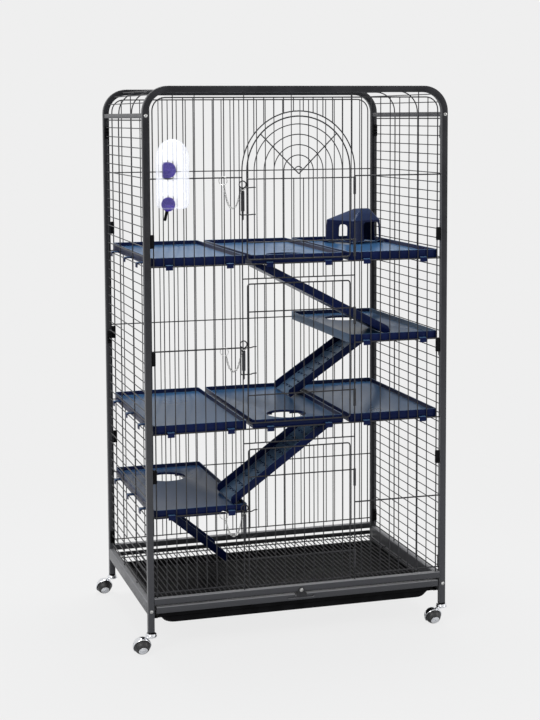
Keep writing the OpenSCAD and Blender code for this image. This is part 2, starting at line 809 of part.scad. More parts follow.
// folded tray with a wide flange that runs on the side rails' lips, turned up under the bar in front
module tray_pan() {
    rim = pan_flange_z + pan_t;
    color(black) difference() {
        union() {
            pan_plate(376, pan_front, 240, pan_flange_z, pan_t);
            pan_plate(365, pan_front, pan_front + pan_t, pan_flange_z, tray_bar_z - pan_flange_z);
            hull() {
                pan_plate(362, -240, 236, pan_flange_z, eps);
                pan_plate(342, -237.5, 222, pan_floor_z, eps);
            }
        }
        hull() {
            pan_plate(360.5, -238.4, 234.5, rim, eps);
            pan_plate(340.5, -236, 220.5, pan_floor_z + pan_t, eps);
        }
    }
}

// square bar with a finger slot and a notch behind the turn latch
module tray_front() {
    color(frame_grey) translate([0, -post_y, tray_bar_z]) difference() {
        translate([-tray_bar_x, -tube / 2, 0]) cube([2 * tray_bar_x, tube, tube]);
        translate([-tray_bar_x - 1, -tube / 2 + tube_wall, tube_wall])
            cube([2 * tray_bar_x + 2, tube - 2 * tube_wall, tube - 2 * tube_wall]);
        translate([-37, -tube / 2 - 1, 5]) cube([74, 4, 5.5]);
        translate([-15, -tube / 2 - 1, 9]) cube([30, tube + 2, tube]);
    }
}

module floor_grille() {
    low = grille_z - layer;
    color(wire_black) {
        for (k = [-28:28])
            wire_y(k * grille_pitch, -post_in_y, grille_rear_y + 6, grille_z, thin_d);
        for (y = [-236, -118, 0, 118, 236]) wire_x(-374, 374, y, low, loop_d);
        for (s = [-1, 1]) wire_y(s * 365, -238, 238, grille_z, loop_d);
        translate([-374, grille_rear_y, grille_z + 1]) cube([748, 7, 10]);
    }
}

// flat tab with a round head and a wide foot
module turn_latch() {
    head_z = tab_z - 2;
    head_r = 8;
    foot_z = 109;
    foot_x = 13.5;
    color(wire_black) translate([0, -post_y - tube / 2 - 0.2, 0]) rotate([90, 0, 0])
        linear_extrude(1.5) difference() {
            polygon(concat([[-foot_x, foot_z], [foot_x, foot_z]],
                           [for (a = [0:10:180]) [head_r * cos(a), head_z + head_r * sin(a)]]));
            translate([0, tab_z]) circle(r = 2.4 + run_gap, $fn = 32);
        }
}

module turn_latch_screw() {
    translate([0, -post_y - tube / 2 - 1.9, tab_z]) pan_screw(5, 2.4, 2.4, tube + 4);
}

// ---------------------------------------------------------------- casters

module caster_sockets() {
    plug = tube - 2 * tube_wall - 0.2;
    color(black)
        for (x = [-1, 1], y = [-1, 1])
            translate([x * post_x, y * post_y, 0]) difference() {
                union() {
                    translate([-tube / 2, -tube / 2, leg_z - 3]) cube([tube, tube, 3]);
                    translate([-plug / 2, -plug / 2, leg_z - eps]) cube([plug, plug, 24]);
                }
                translate([0, 0, leg_z - 4]) cylinder(r = 4, h = 24, $fn = 48);
            }
}

// frame at the ball's middle with +Z along the axle, away from the hood
module at_ball(x, y) {
    translate([x - trail, y, ball_r]) rotate([90 + axle_tilt, 0, 0]) children();
}

// swivel stem and cup under the leg, and the hood that carries the axle
module caster_hood(x, y) {
    color("silver") {
        translate([x, y, leg_z - 3.4]) cylinder(r = 4 - run_gap, h = 20, $fn = 48);
        translate([x, y, 2 * ball_r + 0.8]) cylinder(r = 14, h = leg_z - 3.3 - 2 * ball_r - 0.8, $fn = 64);
        at_ball(x, y) {
            translate([0, 0, -ball_r - 1.5]) cylinder(r = 3, h = ball_r + 1.5 + 8, $fn = 32);
        }
        difference() {
            translate([x - trail, y, ball_r]) sphere(r = ball_r + 3, $fn = 64);
            translate([x - trail, y, ball_r]) sphere(r = ball_r + 0.6, $fn = 64);
            at_ball(x, y) translate([-40, -40, 2]) cube([80, 80, 40]);
            translate([x - trail - 40, y - 40, -10]) cube([80, 80, 16]);
        }
    }
}

module caster_ball(x, y) {
    color(black) at_ball(x, y) difference() {
        sphere(r = ball_r, $fn = 64);
        translate([0, 0, 17.5]) cylinder(r = 12, h = 5, $fn = 64);
        translate([0, 0, -ball_r - 1]) cylinder(r = 3 + run_gap, h = ball_r + 1 + 8.5, $fn = 32);
    }
}

translate([0, -post_y, 0]) arch();  // front_arch
translate([0, post_y, 0]) arch();  // back_arch
translate([-post_x, 0, 0]) top_side_rail();  // left_top_rail
translate([post_x, 0, 0]) top_side_rail();  // right_top_rail
mirror([1, 0, 0]) translate([post_x, 0, 0]) bottom_side_rail();  // left_bottom_rail
translate([post_x, 0, 0]) bottom_side_rail();  // right_bottom_rail
translate([0, -post_y, 0]) front_bar();  // front_cross_bar
translate([0, post_y, 0]) cross_bar();  // back_cross_bar
front_panel();
back_panel();
mirror([1, 0, 0]) translate([post_x, 0, 0]) side_panel();  // left_panel
translate([post_x, 0, 0]) side_panel();  // right_panel
top_panel();
hinge_wire();
panel_clips();
frame_screws();
upper_door();
square_door(middle_span, middle_rows, latch_z[1]);  // middle_door
square_door(lower_span, lower_rows, latch_z[2]);  // lower_door
door_eyes(upper_rows);  // upper_door_eyes
door_eyes(middle_rows);  // middle_door_eyes
door_eyes(lower_rows);  // lower_door_eyes
latch_sleeves();
latch_pin(latch_z[0]);  // upper_pin
latch_pin(latch_z[1]);  // middle_pin
latch_pin(latch_z[2]);  // lower_pin
chain(0);  // upper_chain
chain(1);  // middle_chain
chain(2);  // lower_chain
platform(0, -1, 0, true, 0, 0);  // platform_a_left
platform(0, 0, -1, false, ramp_pivot_x[0], -1);  // platform_a_middle
platform(0, 1, 0, true, 0, 0);  // platform_a_right
platform(1, 1, 1, false, ramp_pivot_x[1], 1);  // platform_b_right
platform(2, -1, 0, true, 0, 0);  // platform_c_left
platform(2, 0, -1, false, ramp_pivot_x[2], -1);  // platform_c_middle
platform(2, 1, 0, true, 0, 0);  // platform_c_right
platform(3, -1, 1, true, ramp_pivot_x[3], 1);  // platform_d_left
ramp(0);  // ramp_a
ramp(1);  // ramp_b
ramp(2);  // ramp_c
ramp(3);  // ramp_d
hideaway();
bottle_body();
bottle_cap();
bottle_spout();
bottle_clip();
tray_pan();
tray_front();
floor_grille();
turn_latch();
turn_latch_screw();
caster_sockets();
caster_hood(-post_x, -post_y);  // hood_front_left
caster_hood(post_x, -post_y);  // hood_front_right
caster_hood(-post_x, post_y);  // hood_back_left
caster_hood(post_x, post_y);  // hood_back_right
caster_ball(-post_x, -post_y);  // ball_front_left
caster_ball(post_x, -post_y);  // ball_front_right
caster_ball(-post_x, post_y);  // ball_back_left
caster_ball(post_x, post_y);  // ball_back_right
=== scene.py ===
# %% [markdown]
# A tall wire cage for ferrets, dressed in Blender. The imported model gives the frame: its bodies
# move, its nodes say where everything is. Each real piece is then built again as a finer mesh in
# millimetres, given a finish made of shader nodes, and tied to the body that carries it.

# %% the frame
import bmesh
import bpy
import json
import math
from mathutils import Matrix, Vector


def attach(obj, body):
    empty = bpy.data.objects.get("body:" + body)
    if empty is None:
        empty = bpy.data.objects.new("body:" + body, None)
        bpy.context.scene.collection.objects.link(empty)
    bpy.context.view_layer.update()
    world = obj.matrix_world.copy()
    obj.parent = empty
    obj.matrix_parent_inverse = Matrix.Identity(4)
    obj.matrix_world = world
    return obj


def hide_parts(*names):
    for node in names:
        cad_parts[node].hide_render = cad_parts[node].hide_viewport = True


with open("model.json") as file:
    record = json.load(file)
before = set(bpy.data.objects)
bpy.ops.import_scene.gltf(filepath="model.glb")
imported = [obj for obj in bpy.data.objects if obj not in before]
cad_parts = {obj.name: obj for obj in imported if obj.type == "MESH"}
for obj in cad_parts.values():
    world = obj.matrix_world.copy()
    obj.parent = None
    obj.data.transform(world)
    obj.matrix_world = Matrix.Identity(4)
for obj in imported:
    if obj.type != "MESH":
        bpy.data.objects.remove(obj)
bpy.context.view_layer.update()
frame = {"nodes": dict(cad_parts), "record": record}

# %% [markdown]
# The camera comes first. It stands to the left of the cage, a little below its top, and looks
# slightly down. Its three angles, its place and the shift of its picture were worked out from the
# straight edges of the square tubes.

# %% the camera
YAW = math.radians(16.263)
PITCH = math.radians(5.119)
ROLL = math.radians(0.3314)
EYE = Vector((-1.1522, -3.7968, 1.3139))
FOCAL, SENSOR = 75.616, 36
SHIFT_X, SHIFT_Y = 0.0228, -0.15

ahead = Vector((math.sin(YAW) * math.cos(PITCH), math.cos(YAW) * math.cos(PITCH), -math.sin(PITCH)))
level = Vector((math.cos(YAW), -math.sin(YAW), 0))
below = ahead.cross(level)
right = level * math.cos(ROLL) + below * math.sin(ROLL)
down = below * math.cos(ROLL) - level * math.sin(ROLL)
lens = bpy.data.cameras.new("camera")
lens.sensor_width = SENSOR
lens.lens = FOCAL
lens.shift_x = SHIFT_X
lens.shift_y = SHIFT_Y
camera = bpy.data.objects.new("camera", lens)
bpy.context.scene.collection.objects.link(camera)
turn = Matrix((right, -down, -ahead)).transposed()
camera.matrix_world = Matrix.Translation(EYE) @ turn.to_4x4()
bpy.context.scene.camera = camera
print("camera at", [round(x, 2) for x in EYE])

# %% [markdown]
# Shader nodes are easier to read as sums. Link wraps one socket, so that "0.3 + 0.1 * speckle"
# adds its Math nodes by itself. Colours and vectors would lose two of their channels in a Math
# node, so they are mixed and scaled by nodes of their own.

# %% sockets that can be added and multiplied
class Link:
    def __init__(self, finish, socket):
        self.finish = finish
        self.socket = socket

    def maths(self, operation, a, b):
        return self.finish.node("ShaderNodeMath", {"operation": operation}, {0: a, 1: b})

    def __add__(self, other):
        return self.maths("ADD", self, other)

    def __sub__(self, other):
        return self.maths("SUBTRACT", self, other)

    def __mul__(self, other):
        return self.maths("MULTIPLY", self, other)

    def __pow__(self, other):
        return self.maths("POWER", self, other)

    def __radd__(self, other):
        return self.maths("ADD", other, self)

    def __rsub__(self, other):
        return self.maths("SUBTRACT", other, self)

    def __rmul__(self, other):
        return self.maths("MULTIPLY", other, self)

    def above(self, low, high):
        """0 below low, 1 above high, and a smooth step between them."""
        span = {"From Min": low, "From Max": high, "To Min": 0.0, "To Max": 1.0, "Value": self}
        return self.finish.node("ShaderNodeMapRange", {"interpolation_type": "SMOOTHSTEP"}, span)


class Nodes:
    """A node tree: node() adds any node and sets its inputs, end() closes the tree."""

    def __init__(self, owner):
        owner.use_nodes = True
        self.tree = owner.node_tree
        self.tree.nodes.clear()

    def node(self, kind, settings=None, inputs=None, output=0):
        made = self.tree.nodes.new(kind)
        for name, value in (settings or {}).items():
            setattr(made, name, value)
        for name, value in (inputs or {}).items():
            if isinstance(value, Link):
                self.tree.links.new(value.socket, made.inputs[name])
            else:
                made.inputs[name].default_value = value
        return Link(self, made.outputs[output])

    def end(self, kind, surface):
        out = self.tree.nodes.new(kind)
        self.tree.links.new(surface.socket, out.inputs["Surface"])


class Finish(Nodes):
    """One material: shade() makes its surface shader and done() ends it."""

    def __init__(self, name):
        self.material = bpy.data.materials.new(name)
        super().__init__(self.material)
        self.place = self.node("ShaderNodeTexCoord", output="Object")

    def axes(self, vector):
        """The three numbers of a vector; axes(facing()) tells which way a surface looks."""
        return [self.node("ShaderNodeSeparateXYZ", {}, {0: vector}, output=i) for i in range(3)]

    def facing(self):
        return self.node("ShaderNodeTexCoord", output="Normal")

    def noise(self, scale, detail=2.0, stretch=None):
        """Clouds with about scale lumps in a metre, pulled out along an axis by stretch."""
        where = self.place
        if stretch:
            where = self.node("ShaderNodeMapping", {}, {"Vector": self.place, "Scale": stretch})
        return self.node("ShaderNodeTexNoise", {}, {"Vector": where, "Scale": scale, "Detail": detail})

    def cells(self, scale):
        sockets = {"Vector": self.place, "Scale": scale}
        return self.node("ShaderNodeTexVoronoi", {"feature": "SMOOTH_F1"}, sockets)

    def mix(self, amount, a, b):
        """Colour a where amount is 0 and b where it is 1."""
        colours = {0: amount}
        for place, colour in ((6, a), (7, b)):
            colours[place] = colour if isinstance(colour, Link) else (*colour, 1)
        return self.node("ShaderNodeMix", {"data_type": "RGBA"}, colours, output=2)

    def bump(self, height, distance, strength=1.0, under=None):
        sockets = {"Height": height, "Distance": distance, "Strength": strength}
        if under:
            sockets["Normal"] = under
        return self.node("ShaderNodeBump", {}, sockets)

    def shade(self, **sockets):
        """Principled shader; an underscore in a socket's name stands for a space."""
        named = {name.replace("_", " "): value for name, value in sockets.items()}
        return self.node("ShaderNodeBsdfPrincipled", {}, named)

    def done(self, surface):
        self.end("ShaderNodeOutputMaterial", surface)
        print("finish", self.material.name, "has", len(self.tree.nodes), "nodes")
        return self.material

# %% [markdown]
# The frame tubes are charcoal hammertone: a powder coat that shrinks into small domes as it
# bakes, so light breaks up on it. Voronoi cells give the domes, and slow clouds of noise keep the
# grey from being the same everywhere. The lower half is painted a little paler, a painted light as
# if bounced up from the pale floor, with a painted highlight on the top faces of the bars at the
# tray. The left faces of the posts are painted lighter too, as if lit by the main lamp.

# %% hammertone paint
paint = Finish("hammertone")
domes = paint.cells(620)
drift = paint.noise(22, 3)
flecks = paint.noise(1500, 1).above(0.56, 0.7)
grey = paint.mix(drift.above(0.3, 0.7), (0.010, 0.010, 0.012), (0.019, 0.019, 0.022))
height = paint.axes(paint.place)[2]
# painted light: the grey is painted paler towards the bottom, as if lit from the pale floor
grey = paint.mix(1 - height.above(0.1, 1.25), grey, (0.046, 0.047, 0.052))
to_right, _, upward = paint.axes(paint.facing())
# painted light: faces that look left are painted lighter, as if lit by the main lamp
grey = paint.mix((0 - to_right).above(0.6, 0.9) * 0.6, grey, (0.12, 0.12, 0.125))
# painted highlight on the top faces of the low bars at the tray
low_bar_top_highlight = upward.above(0.35, 0.8) * (1 - height.above(0.15, 0.3))
grey = paint.mix(low_bar_top_highlight * 0.8, grey, (0.30, 0.30, 0.31))
grey = paint.mix(flecks * 0.25, grey, (0.12, 0.12, 0.13))
hammered = paint.bump(domes, 0.00022, 0.55)
hammertone = paint.done(paint.shade(
    Base_Color=grey, Roughness=0.32 + 0.14 * drift, Specular_IOR_Level=0.22, Normal=hammered))

# %% [markdown]
# The wires carry a thinner satin black coat. It pools a little at the welds and shows a fine
# orange peel, and in rubbed patches it is a touch smoother and lighter.

# %% wire coat
coat = Finish("wire_coat")
pools = coat.noise(60, 3)
peel = coat.noise(1400, 2)
rubbed = coat.noise(9, 5).above(0.6, 0.75)
black = coat.mix(pools.above(0.35, 0.65), (0.016, 0.016, 0.018), (0.026, 0.026, 0.029))
black = coat.mix(rubbed * 0.4, black, (0.05, 0.05, 0.055))
wire_coat = coat.done(coat.shade(
    Base_Color=black, Roughness=0.36 - 0.1 * rubbed + 0.06 * pools, Specular_IOR_Level=0.3,
    Normal=coat.bump(peel, 0.00008, 0.5)))

# %% [markdown]
# Platforms, ramps and hut are moulded from one navy plastic. Faces that look upward are painted
# slate blue, a painted sheen for the pale room seen in their gloss. The treads of the ramps get the
# palest painted sheen, and the open end of the platform on the second level gets a painted
# highlight as if lit by the main lamp; the lowest platform gets less painted sheen, a painted shade.
# Other walls and the hut's roof stay dark. A pebble grain and faint scratches soften the gloss.

# %% navy plastic
mould = Finish("navy_plastic")
grain = mould.noise(520, 3)
waves = mould.noise(11, 2, (1.0, 0.35, 1.0))
smear = mould.noise(7, 4)
scratch = mould.noise(40, 6, (1.0, 14.0, 1.0)).above(0.62, 0.72)
blue = mould.mix(smear.above(0.3, 0.7), (0.0026, 0.0056, 0.034), (0.0044, 0.0090, 0.050))
blue = mould.mix(scratch * 0.25, blue, (0.04, 0.07, 0.15))
to_right, _, upward = mould.axes(mould.facing())
height = mould.axes(mould.place)[2]
flats = upward.above(0.55, 0.75)
treads = flats * (1 - upward.above(0.9, 0.97))
roof = height.above(1.0, 1.02)
second_level = height.above(0.72, 0.73) * (1 - height.above(0.82, 0.83))
open_end = (0 - to_right).above(0.7, 0.95) * second_level
# painted shade: the lowest platform gets less of the painted sheen
lowest = 1 - height.above(0.40, 0.50)
# painted sheen: upward faces are painted slate blue for the pale room seen in their gloss
painted_sheen = flats * (0.60 + 0.30 * smear) * (1 - 0.85 * roof) * (1 - 0.45 * lowest)
blue = mould.mix(painted_sheen, blue, (0.038, 0.116, 0.245))
# painted sheen on the ramp treads, and a painted highlight on the open end as if lit by the main lamp
blue = mould.mix((treads * 0.8 + open_end * 0.8) * (1 - roof), blue, (0.090, 0.150, 0.230))
swell = mould.bump(waves, 0.0012, 0.35)
pebbled = mould.bump(grain, 0.00012, 0.5, swell)
navy_plastic = mould.done(mould.shade(
    Base_Color=blue, Roughness=0.24 + 0.10 * smear + 0.12 * scratch, Specular_IOR_Level=0.09,
    Specular_Tint=(0.55, 0.75, 1.0, 1.0), Coat_Weight=0.05, Coat_Roughness=0.12, Normal=pebbled))

# %% [markdown]
# Black plastic parts have a dull, fine grain: straps on the posts, plugs in the legs, the spout
# and the pressed tray, which is painted to match.

# %% black plastic
dull = Finish("black_plastic")
dust = dull.noise(30, 4)
sand = dull.noise(1100, 2)
soot = dull.mix(dust.above(0.35, 0.7), (0.0025, 0.0025, 0.003), (0.006, 0.006, 0.007))
black_plastic = dull.done(dull.shade(
    Base_Color=soot, Roughness=0.42 + 0.16 * dust, Specular_IOR_Level=0.06,
    Normal=dull.bump(sand, 0.0001, 0.6)))

# %% [markdown]
# Screws, rings and chains are zinc plated: bright, slightly warm, with cloudy roughness. The
# casters' hoods are polished chrome, which is nearly a mirror with a few finger marks.

# %% zinc and chrome
plating = Finish("zinc_plate")
bloom = plating.noise(240, 4)
silver = plating.mix(bloom.above(0.3, 0.7), (0.34, 0.34, 0.33), (0.72, 0.72, 0.71))
zinc_plate = plating.done(plating.shade(
    Base_Color=silver, Metallic=1.0, Roughness=0.22 + 0.2 * bloom, Normal=plating.bump(bloom, 0.00005, 0.4)))

polish = Finish("chrome_plate")
marks = polish.noise(90, 5)
mirror = polish.mix(marks.above(0.4, 0.8), (0.80, 0.81, 0.83), (0.70, 0.71, 0.74))
chrome_plate = polish.done(polish.shade(
    Base_Color=mirror, Metallic=1.0, Roughness=0.05 + 0.12 * marks.above(0.5, 0.8)))

# %% [markdown]
# The caster balls are hard black tread with a dull rolling band, and the bottle's cap and holder
# are glossy purple with faint flow marks from the mould.

# %% ball tread and purple plastic
tread = Finish("ball_tread")
scuffs = tread.noise(160, 5)
rubber = tread.mix(scuffs.above(0.45, 0.75), (0.010, 0.010, 0.011), (0.035, 0.034, 0.033))
ball_tread = tread.done(tread.shade(
    Base_Color=rubber, Roughness=0.30 + 0.3 * scuffs, Normal=tread.bump(scuffs, 0.0002, 0.4)))

cap_mould = Finish("purple_plastic")
flow = cap_mould.noise(45, 3, (1.0, 1.0, 3.0))
violet = cap_mould.mix(flow.above(0.3, 0.7), (0.030, 0.014, 0.20), (0.060, 0.030, 0.32))
purple_plastic = cap_mould.done(cap_mould.shade(
    Base_Color=violet, Roughness=0.22 + 0.12 * flow, Specular_IOR_Level=0.3,
    Normal=cap_mould.bump(cap_mould.noise(700, 2), 0.0001, 0.4)))

# %% [markdown]
# The bottle is blown from clear plastic, so thin that it hardly bends the light. It has gone milky
# with use, except where the holder and the cap sit close against it. Light that scatters inside
# the milky wall comes back out of it, which a weak emission stands for. A true glass shader
# would need many samples; a transparent shader mixed with a glossy one, with more gloss where the
# wall turns away, looks the same from any side.

# %% clear plastic
blown = Finish("clear_plastic")
edge = blown.node("ShaderNodeLayerWeight", {}, {"Blend": 0.35}, output="Facing")
mist = blown.noise(14, 3)
ripple = blown.bump(blown.noise(38, 2, (1.0, 1.0, 0.4)), 0.0006, 0.5)
milk = blown.mix(mist, (0.90, 0.92, 0.97), (0.97, 0.98, 1.00))
wall = blown.shade(Base_Color=milk, Roughness=0.08 + 0.1 * mist, Coat_Weight=0.5, Normal=ripple,
                   Emission_Color=(0.92, 0.94, 1.0, 1.0), Emission_Strength=0.3)
clear = blown.node("ShaderNodeBsdfTransparent", {}, {"Color": (0.99, 0.99, 1.0, 1)})
beside, _, height = blown.axes(blown.place)
near_holder = ((beside + 0.336) ** 2 + (height - 1.187) ** 2) ** 0.5
near_cap = ((beside + 0.338) ** 2 + (height - 1.105) ** 2) ** 0.5
frosted = near_holder.above(0.023, 0.027) * near_cap.above(0.0215, 0.0245)
body_share = 0.01 + (0.17 + 0.08 * mist) * frosted + 0.4 * edge ** 3.0
both = blown.node("ShaderNodeMixShader", {}, {0: body_share, 1: clear, 2: wall})
clear_plastic = blown.done(both)

# %% [markdown]
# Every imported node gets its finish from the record's slot, also where a finer piece will stand
# for it, so that nothing is ever left bare.

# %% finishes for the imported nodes
FINISHES = {
    "frame_paint": hammertone, "wire_coat": wire_coat, "black_plastic": black_plastic,
    "zinc": zinc_plate, "navy_plastic": navy_plastic, "clear_plastic": clear_plastic,
    "purple_plastic": purple_plastic, "chrome": chrome_plate, "ball_tread": ball_tread}
for entry in frame["record"]["subparts"]:
    packed = frame["nodes"][entry["node"]]
    packed.data.materials.clear()
    packed.data.materials.append(FINISHES[entry["material_slot"]])

# %% [markdown]
# Shape gathers rings of points, in millimetres, and the faces between them. Nearly every piece of
# the cage is a bent bar, a lathe form or a plate, so three calls make most of it: sweep() pulls a
# section along a path, lathe() turns a profile round an axis, and slab() thickens an outline and
# rounds its edges.

# %% the mesh builder
MM = 0.001


def unit(v):
    return v.normalized() if v.length > 1e-9 else Vector((0, 0, 1))


def inset(outline, w):
    """The closed outline moved inwards by w; the outline runs anticlockwise."""
    inner = []
    for i, here in enumerate(outline):
        before = Vector(here) - Vector(outline[i - 1])
        after = Vector(outline[(i + 1) % len(outline)]) - Vector(here)
        a = Vector((-before.y, before.x)).normalized()
        b = Vector((-after.y, after.x)).normalized()
        inner.append(Vector(here) + (a + b) * (w / max(0.35, 1 + a.dot(b))))
    return inner


def round_rect(w, d, r, steps=5, cx=0.0, cy=0.0):
    """A rectangle with round corners, anticlockwise, as 4 * (steps + 1) points."""
    points = []
    for turn_on, (sx, sy) in enumerate([(1, -1), (1, 1), (-1, 1), (-1, -1)]):
        for i in range(steps + 1):
            a = math.radians(-90 + 90 * turn_on + 90 * i / steps)
            points.append(Vector((cx + sx * (w / 2 - r) + r * math.cos(a),
                                  cy + sy * (d / 2 - r) + r * math.sin(a))))
    return points


def circle(r, steps, cx=0.0, cy=0.0):
    return [Vector((cx + r * math.cos(math.tau * i / steps), cy + r * math.sin(math.tau * i / steps)))
            for i in range(steps)]


def bend(points, r, steps=4, closed=False):
    """The path through points with its corners rounded over the length r."""
    points = [Vector(p) for p in points]
    path = [] if closed else [points[0]]
    for i in range(0 if closed else 1, len(points) if closed else len(points) - 1):
        here = points[i]
        into = unit(here - points[i - 1])
        out = unit(points[(i + 1) % len(points)] - here)
        a, b = here - into * r, here + out * r
        for k in range(steps + 1):
            t = k / steps
            path.append(a * (1 - t) ** 2 + here * (2 * t * (1 - t)) + b * t ** 2)
    return path if closed else path + [points[-1]]


def arc(cx, cy, r, a0, a1, steps):
    """Points of an arc in the plane, angles in degrees."""
    return [Vector((cx + r * math.cos(math.radians(a0 + (a1 - a0) * i / steps)),
                    cy + r * math.sin(math.radians(a0 + (a1 - a0) * i / steps)))) for i in range(steps + 1)]


class Shape:
    def __init__(self):
        self.bm = bmesh.new()
        self.place = Matrix.Identity(4)

    def ring(self, points):
        return [self.bm.verts.new(self.place @ Vector(p).to_3d()) for p in points]

    def skin(self, a, b):
        for i in range(len(a)):
            k = (i + 1) % len(a)
            self.bm.faces.new((a[i], a[k], b[k], b[i]))

    def stack(self, rings, caps=True, closed=False):
        """A form through rings with as many points each; caps end it, closed joins its ends."""
        made = [self.ring(points) for points in rings]
        for a, b in zip(made, made[1:]):
            self.skin(a, b)
        if closed:
            self.skin(made[-1], made[0])
        elif caps:
            self.bm.faces.new(made[0][::-1])
            self.bm.faces.new(made[-1])
        return made

    def fill(self, *rings):
        """The flat face between an outer ring and the holes inside it."""
        edges = []
        for ring in rings:
            for i, v in enumerate(ring):
                w = ring[(i + 1) % len(ring)]
                edges.append(self.bm.edges.get((v, w)) or self.bm.edges.new((v, w)))
        bmesh.ops.triangle_fill(self.bm, edges=edges, use_beauty=True)

    def sweep(self, path, section, up=None, closed=False, soft=0.0):
        """section pulled along path; up is the section's second direction at the start."""
        path = [Vector(p).to_3d() for p in path]
        count = len(path)
        heading = []
        for i in range(count):
            back = path[i] - path[i - 1] if i or closed else path[1] - path[0]
            on = path[(i + 1) % count] - path[i] if i < count - 1 or closed else back
            heading.append(unit(unit(back) + unit(on)))
        start = Vector(up or ((0, 0, 1) if abs(heading[0].z) < 0.9 else (0, 1, 0)))
        normal = unit(start - heading[0] * start.dot(heading[0]))
        rings = []
        for i in range(count):
            if i:
                normal = heading[i - 1].rotation_difference(heading[i]) @ normal
            side = normal.cross(heading[i])
            scale = [1.0]
            shift = [0.0]
            if soft and not closed and i in (0, count - 1):
                scale = [1 - soft, 1.0] if i == 0 else [1.0, 1 - soft]
                step = soft * max(abs(Vector(s).x) for s in section)
                shift = [0.0, step] if i == 0 else [-step, 0.0]
            for k, s in zip(scale, shift):
                middle = path[i] + heading[i] * s
                rings.append([middle + side * (p[0] * k) + normal * (p[1] * k) for p in section])
        self.stack(rings, closed=closed)

    def wire(self, path, d, sides=10, closed=False, up=None):
        self.sweep(path, circle(d / 2, sides), up, closed, 0.25)

    def lathe(self, profile, steps=32):
        """profile of (radius, height) turned round the local Z axis; radius 0 ends it in a point."""
        rings = []
        for r, h in profile:
            if r > 1e-6:
                rings.append(self.ring([(p.x, p.y, h) for p in circle(r, steps)]))
            else:
                rings.append(self.ring([(0, 0, h)]))
        for a, b in zip(rings, rings[1:]):
            if len(a) == 1 or len(b) == 1:
                tip, round_ring = (a[0], b) if len(a) == 1 else (b[0], a)
                for i in range(steps):
                    self.bm.faces.new((round_ring[i], round_ring[(i + 1) % steps], tip))
            else:
                self.skin(a, b)

    def slab(self, outline, z0, z1, edge=0.6, holes=()):
        """A plate with the given outline and holes, its edges rounded by edge."""
        steps = [(1.0, 0.0), (0.3, 0.3), (0.0, 1.0)]
        levels = [(edge * i, z0 + edge * z) for i, z in steps]
        levels += [(edge * i, z1 - edge * z) for i, z in reversed(steps)]
        ends = []
        for loop in [outline, *holes]:
            way = 1 if loop is outline else -1
            rings = [self.ring([(p.x, p.y, z) for p in inset(loop, way * w)]) for w, z in levels]
            for a, b in zip(rings, rings[1:]):
                self.skin(a, b)
            ends.append((rings[0], rings[-1]))
        if holes:
            self.fill(*[low for low, high in ends])
            self.fill(*[high for low, high in ends])
        else:
            self.bm.faces.new(ends[0][0][::-1])
            self.bm.faces.new(ends[0][1])

    def at(self, *moves):
        """Sets where the next forms go: the product of the given matrices."""
        self.place = Matrix.Identity(4)
        for move in moves:
            self.place = self.place @ move
        return self

    def add(self, other, *moves):
        """Copies another shape in, moved by the matrices."""
        mesh = bpy.data.meshes.new("copy")
        other.bm.to_mesh(mesh)
        self.at(*moves)
        mesh.transform(self.place)
        self.bm.from_mesh(mesh)
        bpy.data.meshes.remove(mesh)
        return self.at()

    def thing(self, name):
        bmesh.ops.recalc_face_normals(self.bm, faces=self.bm.faces)
        mesh = bpy.data.meshes.new(name)
        self.bm.to_mesh(mesh)
        made = bpy.data.objects.new(name, mesh)
        bpy.context.scene.collection.objects.link(made)
        return made


def carve(blank, cutter):
    """blank with the form of cutter cut out of it, as a new Shape."""
    body, tool = blank.thing("blank"), cutter.thing("cutter")
    cut = body.modifiers.new("cut", "BOOLEAN")
    cut.operation = "DIFFERENCE"
    cut.solver = "EXACT"
    cut.object = tool
    graph = bpy.context.evaluated_depsgraph_get()
    mesh = bpy.data.meshes.new_from_object(body.evaluated_get(graph))
    result = Shape()
    result.bm.from_mesh(mesh)
    for used in (body, tool):
        bpy.data.objects.remove(used)
    return result


def turned(degrees, axis):
    return Matrix.Rotation(math.radians(degrees), 4, axis)


def moved(x, y, z):
    return Matrix.Translation((x, y, z))


def mirrored(x, y):
    return Matrix.Diagonal((x, y, 1, 1))


def piece(shape, name, body, slot, *nodes, crease=35):
    """Turns a shape into a piece that rides on body and stands for nodes."""
    bmesh.ops.remove_doubles(shape.bm, verts=shape.bm.verts, dist=0.0005)
    bmesh.ops.transform(shape.bm, matrix=Matrix.Scale(MM, 4), verts=shape.bm.verts)
    made = shape.thing(name)
    made.data.polygons.foreach_set("use_smooth", [True] * len(made.data.polygons))
    made.data.set_sharp_from_angle(angle=math.radians(crease))
    made.data.materials.append(FINISHES[slot])
    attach(made, body)
    if nodes:
        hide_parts(*nodes)
    print(name, "has", len(made.data.polygons), "faces")
    return made

# %% [markdown]
# The driving sizes, in millimetres, are the same as the solid model's. Names ending in X, Y, Z or
# TOP are places along an axis. Uprights stand WIRE_STEP apart and are counted outwards from the
# middle; a wire's end runs PAST the wire it is welded to.

